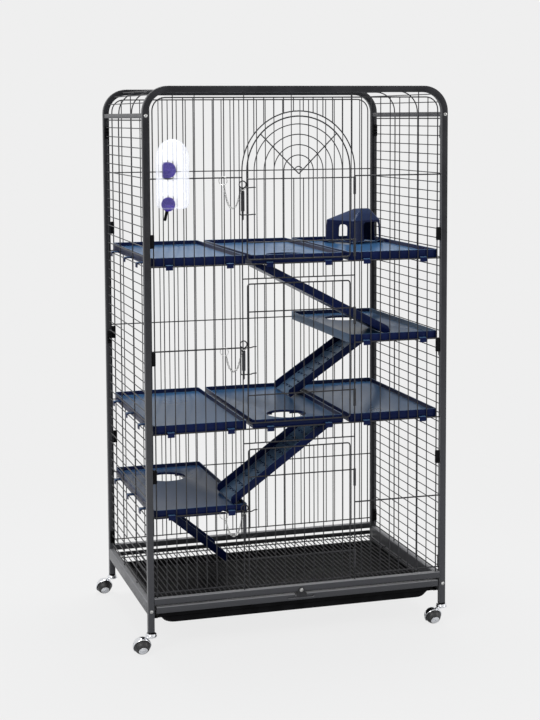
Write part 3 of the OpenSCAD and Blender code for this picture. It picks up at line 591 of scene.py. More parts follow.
# %% sizes of the frame and the wires
TUBE = 16
POST_X, POST_Y = 385.5, 250.0
IN_X, IN_Y = POST_X - TUBE / 2, POST_Y - TUBE / 2
BAR_Z = 1380.5
BEND_R = 57
BEND_X, BEND_Z = POST_X - BEND_R, BAR_Z - BEND_R
LEG_Z = 54.2
TOP_RAIL, TOP_RAIL_Z = 12, 1311
LOW_RAIL_H, LOW_RAIL_Z = 30, 96
CROSS_Z = 121
CROSS_TOP = CROSS_Z + TUBE
LOW_RAIL_TOP = LOW_RAIL_Z + LOW_RAIL_H
THIN, LOOP, FRAME_WIRE, HINGE_D = 2.6, 3.2, 3.6, 3.4
WIRE_STEP, PAST = 25.4, 1.6
SIDES = (("left", -1), ("right", 1))
LAYER = (THIN + LOOP) / 2 - 0.3
OPEN_X, DOOR_X, ARCH_Z = 146.0, 133.5, 1181.0


def upright_x(k):
    return WIRE_STEP * (k + 0.5)


EDGE_X, EDGE_TOP, CORNER_R = upright_x(14), 1360.4, 32
HOOK_KS = (5, 12)
print("panel from", -EDGE_X, "to", EDGE_X)

# %% [markdown]
# Both arches are one square tube, bent twice. Bending a square tube keeps its corners round, so a
# rounded square is pulled along the path of the bend.

# %% arches, rails and cross bars
def arch_path(y):
    bends = arc(-BEND_X, BEND_Z, BEND_R, 180, 90, 14) + arc(BEND_X, BEND_Z, BEND_R, 90, 0, 14)
    ends = [Vector((-POST_X, LEG_Z)), *bends, Vector((POST_X, LEG_Z))]
    return [Vector((p.x, y, p.y)) for p in ends]


square = round_rect(TUBE, TUBE, 2.2, 3)
for name, y in [("front_arch", -POST_Y), ("back_arch", POST_Y)]:
    arch = Shape()
    arch.sweep(arch_path(y), square, up=(0, 1, 0))
    piece(arch, name + "_tube", "root", "frame_paint", name)

for name, sx in SIDES:
    rail = Shape()
    z = TOP_RAIL_Z + TOP_RAIL / 2
    rail.sweep([(sx * POST_X, -IN_Y, z), (sx * POST_X, IN_Y, z)], round_rect(TOP_RAIL, TOP_RAIL, 1.8, 3))
    piece(rail, name + "_top_rail_tube", "root", "frame_paint", name + "_top_rail")

for name, y in [("front_cross_bar", -POST_Y), ("back_cross_bar", POST_Y)]:
    bar = Shape()
    bar.sweep([(s * IN_X, y, CROSS_Z + TUBE / 2) for s in (-1, 1)], square)
    piece(bar, name + "_tube", "root", "frame_paint", name)

# %% [markdown]
# The lower side rails are taller tubes. A ledge folded from their inner face carries the grille,
# and a lip below it is the track that the tray slides on.

# %% lower side rails
LEDGE_TOP, LIP_TOP = 98.1, 85.0
for name, sx in SIDES:
    rail = Shape()
    face = sx * (POST_X - TUBE / 2)

    def run(x, z, w, h, r):
        rail.sweep([(x, -IN_Y, z), (x, IN_Y, z)], round_rect(w, h, r, 3))

    run(sx * POST_X, LOW_RAIL_Z + LOW_RAIL_H / 2, TUBE, LOW_RAIL_H, 2.2)
    run(face - sx * 5.6, LEDGE_TOP - 0.6, 11.6, 1.2, 0.4)
    run(face + sx * 0.6, (LIP_TOP + LOW_RAIL_Z) / 2, 1.2, LOW_RAIL_Z - LIP_TOP + 2, 0.4)
    run(face - sx * 5.2, LIP_TOP - 0.6, 12.6, 1.2, 0.4)
    piece(rail, name + "_bottom_rail_tube", "root", "frame_paint", name + "_bottom_rail")

# %% [markdown]
# Pan head screws with a cross recess go through the posts into the rails. One is turned and cut
# once, then copied to its places.

# %% one pan head screw, pointing along +Y with its seat at the origin
def cross_screw(head_r, head_h, shank_r, length):
    head = Shape()
    head.at(turned(-90, "X"))
    dome = [(shank_r, length), (shank_r, 0), (head_r, 0), (head_r, -head_h * 0.35),
            (head_r * 0.9, -head_h * 0.7)]
    dome += [(head_r * 0.62, -head_h * 0.94), (head_r * 0.3, -head_h), (0, -head_h)]
    head.lathe([(0, length)] + dome, 28)
    for angle in (20, 110):
        recess = Shape().at(turned(-90, "X"), turned(angle, "Z"))
        recess.slab(round_rect(head_r * 1.15, head_r * 0.26, 0.1, 1), -head_h - 1, -head_h * 0.45, 0.02)
        head = carve(head, recess)
    return head


screws = Shape()
frame_screw = cross_screw(4.5, 2.4, 2.4, 24)
for my in (1, -1):
    for sx in (-1, 1):
        for z in (106.2, TOP_RAIL_Z + TOP_RAIL / 2):
            screws.add(frame_screw, mirrored(1, my), moved(sx * POST_X, -POST_Y - TUBE / 2, z))
piece(screws, "frame_screw_set", "root", "zinc", "frame_screws")

# %% [markdown]
# A panel is a flat net of two layers of wire. The loop and the cross wires lie in the plane of
# the posts, and the thinner uprights are welded on behind them, a little sunk in at each crossing.

# %% wires of the front and back panels
def upright(shape, x, y, z0, z1, d, sides=10):
    shape.wire([(x, y, z0), (x, y, z1)], d, sides)


def across(shape, half, y, z, d, sides=10):
    shape.wire([(-half, y, z), (half, y, z)], d, sides)


def fore_and_aft(shape, x, half, z, d, sides=10):
    shape.wire([(x, -half, z), (x, half, z)], d, sides)


def edge_height(x):
    over = max(0.0, abs(x) - (EDGE_X - CORNER_R))
    return EDGE_TOP - CORNER_R + math.sqrt(CORNER_R ** 2 - over ** 2)


def upright_top(k):
    return BAR_Z - TUBE / 2 if k in HOOK_KS else edge_height(upright_x(k)) + LOOP / 2


def edge_loop(shape, y):
    corners = arc(-EDGE_X + CORNER_R, EDGE_TOP - CORNER_R, CORNER_R, 180, 90, 8)
    corners += arc(EDGE_X - CORNER_R, EDGE_TOP - CORNER_R, CORNER_R, 90, 0, 8)
    path = [Vector((-EDGE_X, CROSS_TOP)), *corners, Vector((EDGE_X, CROSS_TOP))]
    shape.wire([(p.x, y, p.y) for p in path], LOOP, up=(0, 1, 0))


SIDE_ROWS = (1166, 747, 338, 149.5)
LONG_ROWS = (953, 543)
STRIPS = ((917, 953), (507, 543))
y, y_up = -POST_Y, -POST_Y + LAYER
front = Shape()
edge_loop(front, y)
for s in (-1, 1):
    for k in range(6, 14):
        upright(front, s * upright_x(k), y_up, SIDE_ROWS[3] - PAST, upright_top(k), THIN)
    for k in range(6):
        foot = ARCH_Z + math.sqrt(OPEN_X ** 2 - upright_x(k) ** 2) - LOOP / 2
        upright(front, s * upright_x(k), y_up, foot, upright_top(k), THIN)
    for z in SIDE_ROWS:
        front.wire([(s * OPEN_X, y, z), (s * IN_X, y, z)], FRAME_WIRE)
    for k in range(5):
        for low, high in STRIPS:
            upright(front, s * upright_x(k), y_up, low - PAST, high + PAST, THIN)
for z in LONG_ROWS:
    across(front, IN_X, y, z, FRAME_WIRE)
for low, high in STRIPS:
    across(front, OPEN_X, y, low, LOOP)
opening = [Vector((-OPEN_X, CROSS_TOP)), *arc(0, ARCH_Z, OPEN_X, 180, 0, 40)]
front.wire([(p.x, y, p.y) for p in opening], LOOP, up=(0, 1, 0))
piece(front, "front_wire_panel", "root", "wire_coat", "front_panel")

hinge = Shape()
upright(hinge, OPEN_X, y, CROSS_TOP, ARCH_Z, HINGE_D, 16)
piece(hinge, "hinge_rod", "root", "wire_coat", "hinge_wire")

BACK_ROWS = (1164.5, 953, 750, 543, 340, 150)
back = Shape()
edge_loop(back, POST_Y)
for s in (-1, 1):
    for k in range(14):
        foot = CROSS_TOP if k in HOOK_KS else BACK_ROWS[5] - LOOP / 2
        upright(back, s * upright_x(k), POST_Y - LAYER, foot, upright_top(k), THIN)
for z in BACK_ROWS:
    across(back, IN_X, POST_Y, z, LOOP)
piece(back, "back_wire_panel", "root", "wire_coat", "back_panel")

# %% [markdown]
# The side panels are closer nets: forty-nine rows on the outside of a loop with two uprights. The
# top panel is bent down at both ends with the arches.

# %% side and top panels
EDGE_Y, THIRD_Y = IN_Y - 4, 80.7
NET_TOP_Z, NET_STEP, NET_ROWS = 1286.6, 23.8, 49
NET_LOW_Z, NET_HIGH_Z = 133, 1306.5
BEND_ANGLES = (25.5, 51, 76.5)
for name, sx in SIDES:
    side = Shape()
    xi, xo = sx * (POST_X - LAYER / 2), sx * (POST_X + LAYER / 2)
    for k in range(NET_ROWS):
        fore_and_aft(side, xo, EDGE_Y + PAST, NET_TOP_Z - NET_STEP * k, THIN)
    corners = [(xi, -EDGE_Y, NET_LOW_Z), (xi, EDGE_Y, NET_LOW_Z), (xi, EDGE_Y, NET_HIGH_Z),
               (xi, -EDGE_Y, NET_HIGH_Z)]
    side.wire(bend(corners, 6, 4, closed=True), LOOP, closed=True, up=(1, 0, 0))
    for y3 in (-THIRD_Y, THIRD_Y):
        upright(side, xi, y3, LOW_RAIL_TOP, TOP_RAIL_Z, LOOP)
    piece(side, name + "_wire_panel", "root", "wire_coat", name + "_panel")

top = Shape()
for s in (-1, 1):
    for k in range(13):
        fore_and_aft(top, s * upright_x(k), IN_Y, BAR_Z, THIN)
    for a in BEND_ANGLES:
        x = s * (BEND_X + BEND_R * math.cos(math.radians(a)))
        z = BEND_Z + BEND_R * math.sin(math.radians(a))
        fore_and_aft(top, x, IN_Y, z, THIN)
for y3 in (-THIRD_Y, THIRD_Y):
    hoop = arc(-BEND_X, BEND_Z, BEND_R - LAYER, 180, 90, 12) + arc(BEND_X, BEND_Z, BEND_R - LAYER, 90, 0, 12)
    end_x, end_z = POST_X - LAYER, TOP_RAIL_Z + TOP_RAIL
    hoop = [Vector((-end_x, end_z)), *hoop, Vector((end_x, end_z))]
    top.wire([(p.x, y3, p.y) for p in hoop], LOOP, up=(0, 1, 0))
piece(top, "top_wire_panel", "root", "wire_coat", "top_panel")

# %% [markdown]
# Moulded straps clip the panels' outer wires to the posts. Each is a small block with round
# edges and three ribs across it.

# %% straps
STRAP_HALF, STRAP_RIBS = 16.5, (-9, 0, 9)
SIDE_STRAP_Z, FACE_STRAP_Z = (1273, 717, 160), (1015, 729, 439)
straps = Shape()


def strap(x, y, z, block, rib):
    """block and rib hold the width, depth and corner radius of their outlines."""
    straps.at(moved(x, y, z))
    straps.slab(round_rect(*block, 4), -STRAP_HALF, STRAP_HALF, 1.2)
    for rib_z in STRAP_RIBS:
        straps.slab(round_rect(*rib, 4), rib_z - 1.6, rib_z + 1.6, 0.5)


for sx in (-1, 1):
    for sy in (-1, 1):
        for z in SIDE_STRAP_Z:
            strap(sx * POST_X, sy * (IN_Y - 3.75), z, (13, 7.5, 2.4), (13.8, 7.5, 2.6))
        for z in FACE_STRAP_Z:
            strap(sx * (IN_X - 5.5), sy * (POST_Y - 0.25), z, (11, 9, 2.6), (11, 9.8, 2.8))
piece(straps, "panel_straps", "root", "black_plastic", "panel_clips")

# %% [markdown]
# A door leaf is a loop of thicker wire with two cross wires and ten uprights behind it. The upper
# leaf has a round top, where all but its middle uprights run on as arcs inside each other and two
# spokes cross them. Beside the latch, a bent wire reaches round the latch pin.

# %% door leaves
LATCH_Z = {"upper": 1108.5, "middle": 715.5, "lower": 305.5}
LATCH_Y = -POST_Y - 5.4
BRACKET_Y, BRACKET_HALF, BRACKET_D = -POST_Y - 13, 33, 2.9


def latch_bracket(shape, z):
    weld_x, weld_y = -upright_x(4), -POST_Y + LAYER + 0.3 - (THIN + BRACKET_D) / 2
    end_x = -157 + BRACKET_D / 2
    half = [(weld_x + 3, weld_y), (weld_x - 5, weld_y), (weld_x - 16, BRACKET_Y), (end_x, BRACKET_Y)]
    path = [(*p, z + BRACKET_HALF) for p in half] + [(*p, z - BRACKET_HALF) for p in reversed(half)]
    shape.wire(bend(path, 4, 4), BRACKET_D)


def door_uprights(shape, ks, z0, z1):
    for s in (-1, 1):
        for k in ks:
            upright(shape, s * upright_x(k), y_up, z0, z1, THIN)


DOOR_ROWS = {"upper": (1161.9, 1006.5), "middle": (835, 627), "lower": (422, 213)}
for name, span in (("middle", (557.5, 904)), ("lower", (144.5, 491.5))):
    leaf = Shape()
    corners = [(-DOOR_X, y, span[0]), (DOOR_X, y, span[0]), (DOOR_X, y, span[1]), (-DOOR_X, y, span[1])]
    leaf.wire(bend(corners, 8, 5, closed=True), FRAME_WIRE, 12, closed=True, up=(0, 1, 0))
    for z in DOOR_ROWS[name]:
        across(leaf, DOOR_X, y, z, LOOP)
    door_uprights(leaf, range(5), span[0] - 0.9, span[1] + 0.9)
    latch_bracket(leaf, LATCH_Z[name])
    piece(leaf, name + "_door_wires", name + "_door_leaf", "wire_coat", name + "_door")

UPPER_BOTTOM = 964
leaf = Shape()
outline = bend([(-DOOR_X, ARCH_Z, 0), (-DOOR_X, UPPER_BOTTOM, 0), (DOOR_X, UPPER_BOTTOM, 0),
                (DOOR_X, ARCH_Z, 0)], 8, 5)
outline = [Vector((p.x, p.y)) for p in outline[1:]] + arc(0, ARCH_Z, DOOR_X, 0, 180, 40)[1:]
leaf.wire([(p.x, y, p.y) for p in outline], FRAME_WIRE, 12, closed=True, up=(0, 1, 0))
for z in DOOR_ROWS["upper"]:
    across(leaf, DOOR_X, y, z, LOOP)
door_uprights(leaf, [0], UPPER_BOTTOM - 0.9, DOOR_ROWS["upper"][0] + PAST)
for k in range(1, 5):
    x = upright_x(k)
    path = [Vector((-x, UPPER_BOTTOM - 0.9)), *arc(0, ARCH_Z, x, 180, 0, 16 + 6 * k),
            Vector((x, UPPER_BOTTOM - 0.9))]
    leaf.wire([(p.x, y_up, p.y) for p in path], THIN, up=(0, 1, 0))
leaf.wire([(p.x, y_up, p.y) for p in arc(0, ARCH_Z, 10, 0, 180, 12)], THIN, up=(0, 1, 0))
for a in (45, 135):
    reach = DOOR_X + 5
    tip = (reach * math.cos(math.radians(a)), y, ARCH_Z - 8 + reach * math.sin(math.radians(a)))
    leaf.wire([(0, y, ARCH_Z - 8), tip], 3.0)
latch_bracket(leaf, LATCH_Z["upper"])
piece(leaf, "upper_door_wires", "upper_door_leaf", "wire_coat", "upper_door")

# %% [markdown]
# Each cross wire ends in a rolled eye on the hinge rod. It is a short tube with rounded lips and
# three fine ridges round it.

# %% hinge eyes
def tube_profile(bore, outer, z0, z1, lip=0.4):
    return [(bore, z0 + lip), (bore + lip, z0), (outer - lip, z0), (outer, z0 + lip),
            (outer, z1 - lip), (outer - lip, z1), (bore + lip, z1), (bore, z1 - lip), (bore, z0 + lip)]


for name, rows in DOOR_ROWS.items():
    eyes = Shape()
    for z in rows:
        eyes.at(moved(OPEN_X, y, z))
        eyes.lathe(tube_profile(1.75, 3.4, -42, 2.0), 24)
        eyes.wire([(-10.7, 0, 0), (-2.6, 0, 0)], LOOP)
        for turn_z in (-31, -20, -9):
            eyes.wire([(p.x, p.y, turn_z) for p in circle(3.25, 24)], 0.7, 6, closed=True, up=(0, 0, 1))
    piece(eyes, name + "_hinge_eyes", name + "_door_leaf", "wire_coat", name + "_door_eyes")

# %% [markdown]
# Latches: a sleeve welded to the opening's wire, and a pin that drops through it with a ring to
# pull it by. The ring is the pin's own wire, bent round and brought back to the shank.

# %% latch sleeves and pins
sleeves = Shape()
for z in LATCH_Z.values():
    sleeves.at(moved(-OPEN_X, LATCH_Y, z))
    sleeves.lathe(tube_profile(2.7, 4.5, -24.5, 24.5, 0.5), 28)
    for weld_z in (-18, 18):
        bead = [(0, -3.2), (1.1, -2.6), (1.7, -1.2), (1.7, 1.2), (1.1, 2.6), (0, 3.2)]
        for sx in (-1, 1):
            sleeves.at(moved(-OPEN_X + sx * 2.1, LATCH_Y + 3.1, z + weld_z))
            sleeves.lathe(bead, 10)
piece(sleeves, "latch_tubes", "root", "frame_paint", "latch_sleeves")

for name, z in LATCH_Z.items():
    pin = Shape()
    pin.at(moved(-OPEN_X, LATCH_Y, z))
    pin.lathe([(0, -46.5), (1.3, -46.3), (2.1, -45.2), (2.5, -43.6), (2.5, 29), (2.1, 31), (1.2, 32),
               (0, 32.2)], 24)
    loop = arc(0, 40.5, 8.7, -32, 212, 28)
    drop = bend([loop[-1].to_3d(), (-1.2, 30.5, 0), (1.2, 30.5, 0), loop[0].to_3d()], 1.1, 3)
    path = [Vector((p.x, 0, p.y)) for p in loop] + [Vector((p.x, 0, p.y)) for p in drop[1:-1]]
    pin.wire(path, 3.0, 12, closed=True, up=(0, 1, 0))
    piece(pin, name + "_latch_pin_wire", name + "_latch_pin", "wire_coat", name + "_pin")

# %% [markdown]
# A keeper chain hangs between a split ring on the cross wire and a small ring round each pin's
# neck. It hangs in a catenary: the distance along it gives every link its place and slope, and
# every other link is turned a quarter round.

# %% keeper chains
LINK_STEP, LINK_WIRE = 4.4, 1.5
SPLIT_R, SPLIT_WIRE, SPLIT_TURN = 10.2, 1.3, -27
NECK_R, NECK_UP, NECK_Y = 5.5, 28, LATCH_Y - 2.35
CHAINS = {"upper": (1166, 1092, 7, -171.5, -194), "middle": (747, 690, 7, -171.5, -194),
          "lower": (338, 278, 8, -173.9, -198.1)}


def links_in(sag, height):
    return round(math.sqrt(height ** 2 + 2 * sag * height) / LINK_STEP)


for name, (row_z, low_z, sag, low_x, split_x) in CHAINS.items():
    chain = Shape()
    chain.at(moved(split_x, -POST_Y, row_z - 7.3), turned(SPLIT_TURN, "Z"))
    coil = [(SPLIT_R * math.cos(t), 0.45 * (t / math.pi - 2), SPLIT_R * math.sin(t))
            for t in [4 * math.pi * i / 96 for i in range(97)]]
    chain.wire(coil, SPLIT_WIRE, 8, up=(0, 1, 0))
    neck_z = LATCH_Z[name] + NECK_UP
    chain.at(moved(-OPEN_X, NECK_Y, neck_z), turned(-16, "Y"))
    chain.wire([p.to_3d() for p in circle(NECK_R, 28)], LINK_WIRE, 8, closed=True, up=(0, 0, 1))
    first, last = -links_in(sag, row_z - 17.5 - low_z), links_in(sag, neck_z - low_z)
    first_y = -POST_Y + 3 * math.sin(math.radians(SPLIT_TURN))
    for i in range(first, last + 1):
        s = i * LINK_STEP
        x = low_x + sag * math.asinh(s / sag)
        z = low_z + sag * (math.sqrt(1 + (s / sag) ** 2) - 1)
        slope = math.degrees(math.atan2(s, sag))
        link_y = first_y + (NECK_Y - first_y) * (i - first) / (last - first)
        chain.at(moved(x, link_y, z), turned(-slope, "Y"), turned((i % 2) * 90 + 45, "X"))
        oval = [(3.5 * math.cos(t), 2.3 * math.sin(t), 0) for t in [math.tau * j / 14 for j in range(14)]]
        chain.wire(oval, LINK_WIRE, 6, closed=True, up=(0, 0, 1))
    piece(chain, name + "_keeper_chain", "root", "zinc", name + "_chain")

# %% [markdown]
# A platform is a shallow moulded tray. One closed skin runs from its foot up the outer wall, over
# the round rim, down the inside and across the floor, and turns back under it; the rim of a
# climbing hole is turned down. Ribs stiffen it from below, and hooks reach out over the wires.

# %% platforms
PLAT_W, PLAT_D, PLAT_H, SKIN, WELL = 238, 489, 22, 3, 11
FLOOR_Z = PLAT_H - WELL
LEVEL_Z = (953, 744, 542, 332)
HOLE_R, HOLE_Y, STEP_X = 51, 138, 254
HANG_FRONT, HANG_BACK = (953, 747, 543, 338), (953, 750, 543, 340)
HANG_SIDE = (953.4, 0, 548.8, 334.6)
RIB_X, RIB_Y = (-48, 48), (-180, -90, 0, 90, 180)
HANGER_X, HANGER_Y = (-76.2, 76.2), (170, 0, -150)
DROP, PIVOT_D, RAMP_W = 7, 6, 138


def hanger(shape, out, up, wire_d, *place):
    """A strap that leaves the rim, passes over a wire and turns down in front of it."""
    top = up + wire_d / 2 + 0.1 + 1.5
    front_y = out + wire_d / 2 + 0.4 + 1.2
    shape.at(*place)
    path = bend([(0, -1, top), (0, front_y, top), (0, front_y, top - 11.5)], 2.2, 4)
    shape.sweep(path, round_rect(18, 2.6, 1.0, 3), up=(0, 0, 1), soft=0.08)
    for x in (-6, 6):
        shape.wire([(x, -1, top - 1.4), (x, front_y - 1.2, top - 1.4)], 1.6, 8)


def tray(shape, hole):
    """Rings of the tray's skin from under the floor, round the outside, to the top of the floor."""
    def ring(i, z):
        return [(p.x, p.y, z) for p in round_rect(PLAT_W - 2 * i, PLAT_D - 2 * i, 9 - i if i < 6 else 3.0, 6)]

    profile = [(SKIN, FLOOR_Z - SKIN), (SKIN, 0.8), (SKIN - 0.6, 0.2), (0.9, 0.0), (0.25, 0.3), (0.0, 1.0),
               (0.0, PLAT_H - 1.4), (0.35, PLAT_H - 0.5), (1.1, PLAT_H), (2.1, PLAT_H), (2.8, PLAT_H - 0.5),
               (SKIN + 0.1, PLAT_H - 1.5), (SKIN + 0.5, FLOOR_Z + 2.4), (SKIN + 1.2, FLOOR_Z + 0.8),
               (SKIN + 2.6, FLOOR_Z)]
    rings = shape.stack([ring(i, z) for i, z in profile], caps=False)
    if not hole:
        shape.fill(rings[0])
        shape.fill(rings[-1])
        return
    collar = [(SKIN, FLOOR_Z - SKIN), (SKIN, FLOOR_Z - 5.4), (SKIN - 0.6, FLOOR_Z - 6), (0.6, FLOOR_Z - 6),
              (0, FLOOR_Z - 5.4), (0, FLOOR_Z - 0.2), (0.4, FLOOR_Z + 0.4), (1.2, FLOOR_Z + 0.5),
              (SKIN, FLOOR_Z)]
    levels = [[(p.x, p.y, z) for p in circle(HOLE_R + w, 56, 0, hole * HOLE_Y)] for w, z in collar]
    around = shape.stack(levels, caps=False)
    shape.fill(rings[0], around[0])
    shape.fill(rings[-1], around[-1])


def platform(name, level, column, hole=0, side=False, lug_x=None, lug_side=0):
    shape = Shape()
    home = moved(column * STEP_X, 0, LEVEL_Z[level])
    shape.at(home)
    tray(shape, hole)
    clear = HOLE_R + SKIN - 0.5
    reach, end = PLAT_D / 2 - SKIN + 0.5, PLAT_W / 2 - SKIN + 0.5
    for x in RIB_X:
        shape.at(home, moved(x, 0, 0))
        shape.slab(round_rect(2, 2 * reach, 0.4, 2), 0.4, FLOOR_Z - SKIN + 0.4, 0.3)
    for y0 in RIB_Y:
        gap = math.sqrt(max(0, clear ** 2 - (y0 - hole * HOLE_Y) ** 2)) if hole else 0
        for a, b in ([(-end, -gap), (gap, end)] if gap else [(-end, end)]):
            shape.at(home, moved((a + b) / 2, y0, 0))
            shape.slab(round_rect(b - a, 2, 0.4, 2), 0.6, FLOOR_Z - SKIN + 0.4, 0.3)
    out_y = POST_Y - PLAT_D / 2
    for x in HANGER_X:
        hanger(shape, out_y, HANG_BACK[level] - LEVEL_Z[level], LOOP, home, moved(x, PLAT_D / 2, 0))
        hanger(shape, out_y, HANG_FRONT[level] - LEVEL_Z[level], LOOP, home, turned(180, "Z"),
               moved(x, PLAT_D / 2, 0))
    if side:
        out_x = POST_X + LAYER / 2 - STEP_X - PLAT_W / 2
        for y0 in HANGER_Y:
            hanger(shape, out_x, HANG_SIDE[level] - LEVEL_Z[level], THIN, home,
                   moved(column * PLAT_W / 2, y0, 0), turned(-90 * column, "Z"))
    if lug_side:
        ear = [Vector((-7, 9)), *arc(0, -DROP, 7, 180, 360, 16), Vector((7, 9))]
        for s in (-1, 1):
            lug_y = lug_side * HOLE_Y + s * (RAMP_W / 2 + 3.5) + 2.5
            shape.at(home, moved(lug_x - column * STEP_X, lug_y, 0), turned(90, "X"))
            shape.slab(ear, 0, 5, 0.5, [circle(PIVOT_D / 2 + 0.05, 24, 0, -DROP)])
    piece(shape, name + "_tray", "root", "navy_plastic", name)


RAMP_X = (-95, 340, 95, -349)
RAMP_DIR, RAMP_SIDE = (1, -1, -1, 1), (-1, 1, -1, 1)
platform("platform_a_left", 0, -1, side=True)
platform("platform_a_middle", 0, 0, -1, lug_x=RAMP_X[0], lug_side=-1)
platform("platform_a_right", 0, 1, side=True)
platform("platform_b_right", 1, 1, 1, lug_x=RAMP_X[1], lug_side=1)
platform("platform_c_left", 2, -1, side=True)
platform("platform_c_middle", 2, 0, -1, lug_x=RAMP_X[2], lug_side=-1)
platform("platform_c_right", 2, 1, side=True)
platform("platform_d_left", 3, -1, 1, side=True, lug_x=RAMP_X[3], lug_side=1)

# %% [markdown]
# A ramp is a channel with a rim on each side and rows of half round grips across its floor, every
# other row shifted, so that claws find a hold. It turns on a pin in the platform's two ears.

# %% ramps
RAMP_LONG, RAMP_H = (396, 320, 320, 320), 20
GRIP_FIRST, GRIP_STEP, GRIP_ACROSS = 32, 26, 24
FOOT_Z = (LEVEL_Z[1] + FLOOR_Z, LEVEL_Z[2] + FLOOR_Z, LEVEL_Z[3] + FLOOR_Z, 114)


def ramp_angle(i):
    fall = LEVEL_Z[i] - DROP - FOOT_Z[i] - 0.5
    return math.degrees(math.asin(fall / math.hypot(RAMP_LONG[i], 6)) - math.atan2(6, RAMP_LONG[i]))


def rounded(points, r, steps=4):
    return [Vector((p.x, p.y)) for p in bend([(x, y1, 0) for x, y1 in points], r, steps, closed=True)]


def grip(x, y0, r=8.5, w=2.8):
    """A half round bar, open towards the pivot."""
    turn_by = 62
    outer = arc(x - r * 0.6, y0, r + w / 2, -turn_by, turn_by, 10)
    inner = arc(x - r * 0.6, y0, r - w / 2, turn_by, -turn_by, 10)
    return outer + inner


for i, name in enumerate(["ramp_a", "ramp_b", "ramp_c", "ramp_d"]):
    shape = Shape()
    home = (moved(RAMP_X[i], RAMP_SIDE[i] * HOLE_Y, LEVEL_Z[i] - DROP),
            turned(0 if RAMP_DIR[i] > 0 else 180, "Z"), turned(ramp_angle(i), "Y"))
    long = RAMP_LONG[i]
    rim = rounded([(-6, -6), (long, -6), (long, 5), (long - 9, RAMP_H - 6), (30, RAMP_H - 6), (8, 5),
                   (-6, 5)], 2.5)
    for s in (-1, 1):
        shape.at(*home, moved(0, s * (RAMP_W / 2 - SKIN / 2) + SKIN / 2, 0), turned(90, "X"))
        shape.slab(rim, 0, SKIN, 0.8)
    shape.at(*home, moved(long / 2, 0, 0))
    shape.slab(round_rect(long, RAMP_W - 2, 2, 3), -6, -3, 0.6)
    shape.at(*home)
    shape.sweep([(0, -RAMP_W / 2 + 1, -1), (0, RAMP_W / 2 - 1, -1)], round_rect(12, 10, 3, 4))
    shape.sweep([(long - 2.2, -RAMP_W / 2 + 1, -4.2), (long - 2.2, RAMP_W / 2 - 1, -4.2)],
                round_rect(4, 3.6, 1.5, 3))
    for row in range(int((long - GRIP_FIRST) / GRIP_STEP)):
        for j in range(-2, 3):
            grip_y = (j + (row % 2) * 0.5 - 0.25) * GRIP_ACROSS
            shape.slab(grip(GRIP_FIRST + GRIP_STEP * row, grip_y), -3.4, -0.4, 0.5)
    shape.wire([(0, -RAMP_W / 2 - 6, 0), (0, RAMP_W / 2 + 6, 0)], PIVOT_D, 24)
    piece(shape, name + "_channel", name + "_body", "navy_plastic", name)

# %% [markdown]
# The sleeping hut is a thin moulded shell: upright walls that lean in a little, and a roof that
# slopes up from them to a small flat on one side of the middle. Rings of a rounded square make
# the outside and the inside, and arched doorways and windows are cut through both.

# %% sleeping hut
EAVE_Z, ROOF_Z = 63, 94
HUT_FOOT, HUT_LEAN, HUT_CORNER = 118, 6, 13
HUT_FLAT, HUT_FLAT_AT = (41, 25), (15.5, -17.5)
HUT_AT, HUT_TURN = (290, 156, LEVEL_Z[0] + FLOOR_Z), 25


def hut_ring(z, inset_by):
    """The hut's section at height z, moved inwards."""
    if z <= EAVE_Z:
        w = HUT_FOOT - HUT_LEAN * max(0, z - 3) / (EAVE_Z - 3) - 2 * inset_by
        return round_rect(w, w, HUT_CORNER - inset_by, 5)
    t = (z - EAVE_Z) / (ROOF_Z - EAVE_Z)
    eave = HUT_FOOT - HUT_LEAN
    w, d = (eave + (flat - eave) * t - 2 * inset_by for flat in HUT_FLAT)
    corner = max(2.5, HUT_CORNER - 6 * t - inset_by)
    return round_rect(w, d, corner, 5, *(t * middle for middle in HUT_FLAT_AT))


def hut_arch(x0, x1, z0, z1):
    """A narrow opening ends in a half circle, a wide one has round corners."""
    r = (x1 - x0) / 2
    if r <= 14:
        return [Vector((x0, z0)), Vector((x1, z0)), *arc(x0 + r, z1 - r, r, 0, 180, 16)[1:-1]]
    return rounded([(x0, z0), (x1, z0), (x1, z1), (x0, z1)], 12, 6)


hut = Shape()
outside = [(3, 0.9), (3.4, 0.2), (6, -0.9), (6.6, 0.0), (10, 0.3), (EAVE_Z - 1.4, 0.1), (EAVE_Z, 0.4),
           (EAVE_Z + 1.4, 0.5), (EAVE_Z + 14, 0.0), (ROOF_Z - 1.4, 0.0), (ROOF_Z - 0.3, 1.0), (ROOF_Z, 2.2)]
inside = [(3, 2.5), (EAVE_Z - 2, 2.6), (EAVE_Z + 1, 3.2), (EAVE_Z + 14, 3.4), (ROOF_Z - 2.6, 3.2)]
layers = [[(p.x, p.y, z) for p in hut_ring(z, w)] for z, w in reversed(inside)]
layers += [[(p.x, p.y, z) for p in hut_ring(z, w)] for z, w in outside]
hut.stack(layers)
doorways = Shape()
DOORWAYS = [(0, -17, 44, 4, 58), (180, -44, 17, 4, 58), (-90, 0, 34, 8, 53), (90, -46, -26, 5, 56)]
for turn_z, x0, x1, z0, z1 in DOORWAYS:
    doorways.at(turned(turn_z, "Z"), moved(0, -44, 0), turned(90, "X"))
    doorways.slab(hut_arch(x0, x1, z0, z1), 0, 30, 0.05)
hut = carve(hut, doorways)
for sx in (-1, 1):
    for sy in (-1, 1):
        hut.at(moved(sx * 53, sy * 53, 0))
        hut.slab(round_rect(12, 12, 3, 4), 0, 4, 0.6)
placed = Shape().add(hut, moved(*HUT_AT), turned(HUT_TURN, "Z"))
piece(placed, "sleeping_hut", "hut", "navy_plastic", "hideaway", crease=50)

# %% [markdown]
# The bottle is flat, with round sides, a domed top and round lower corners. Its section is the
# same stadium all the way up, with one shallow groove near the foot, and is drawn in where the
# dome and the foot close. A second, smaller form inside it makes the wall.

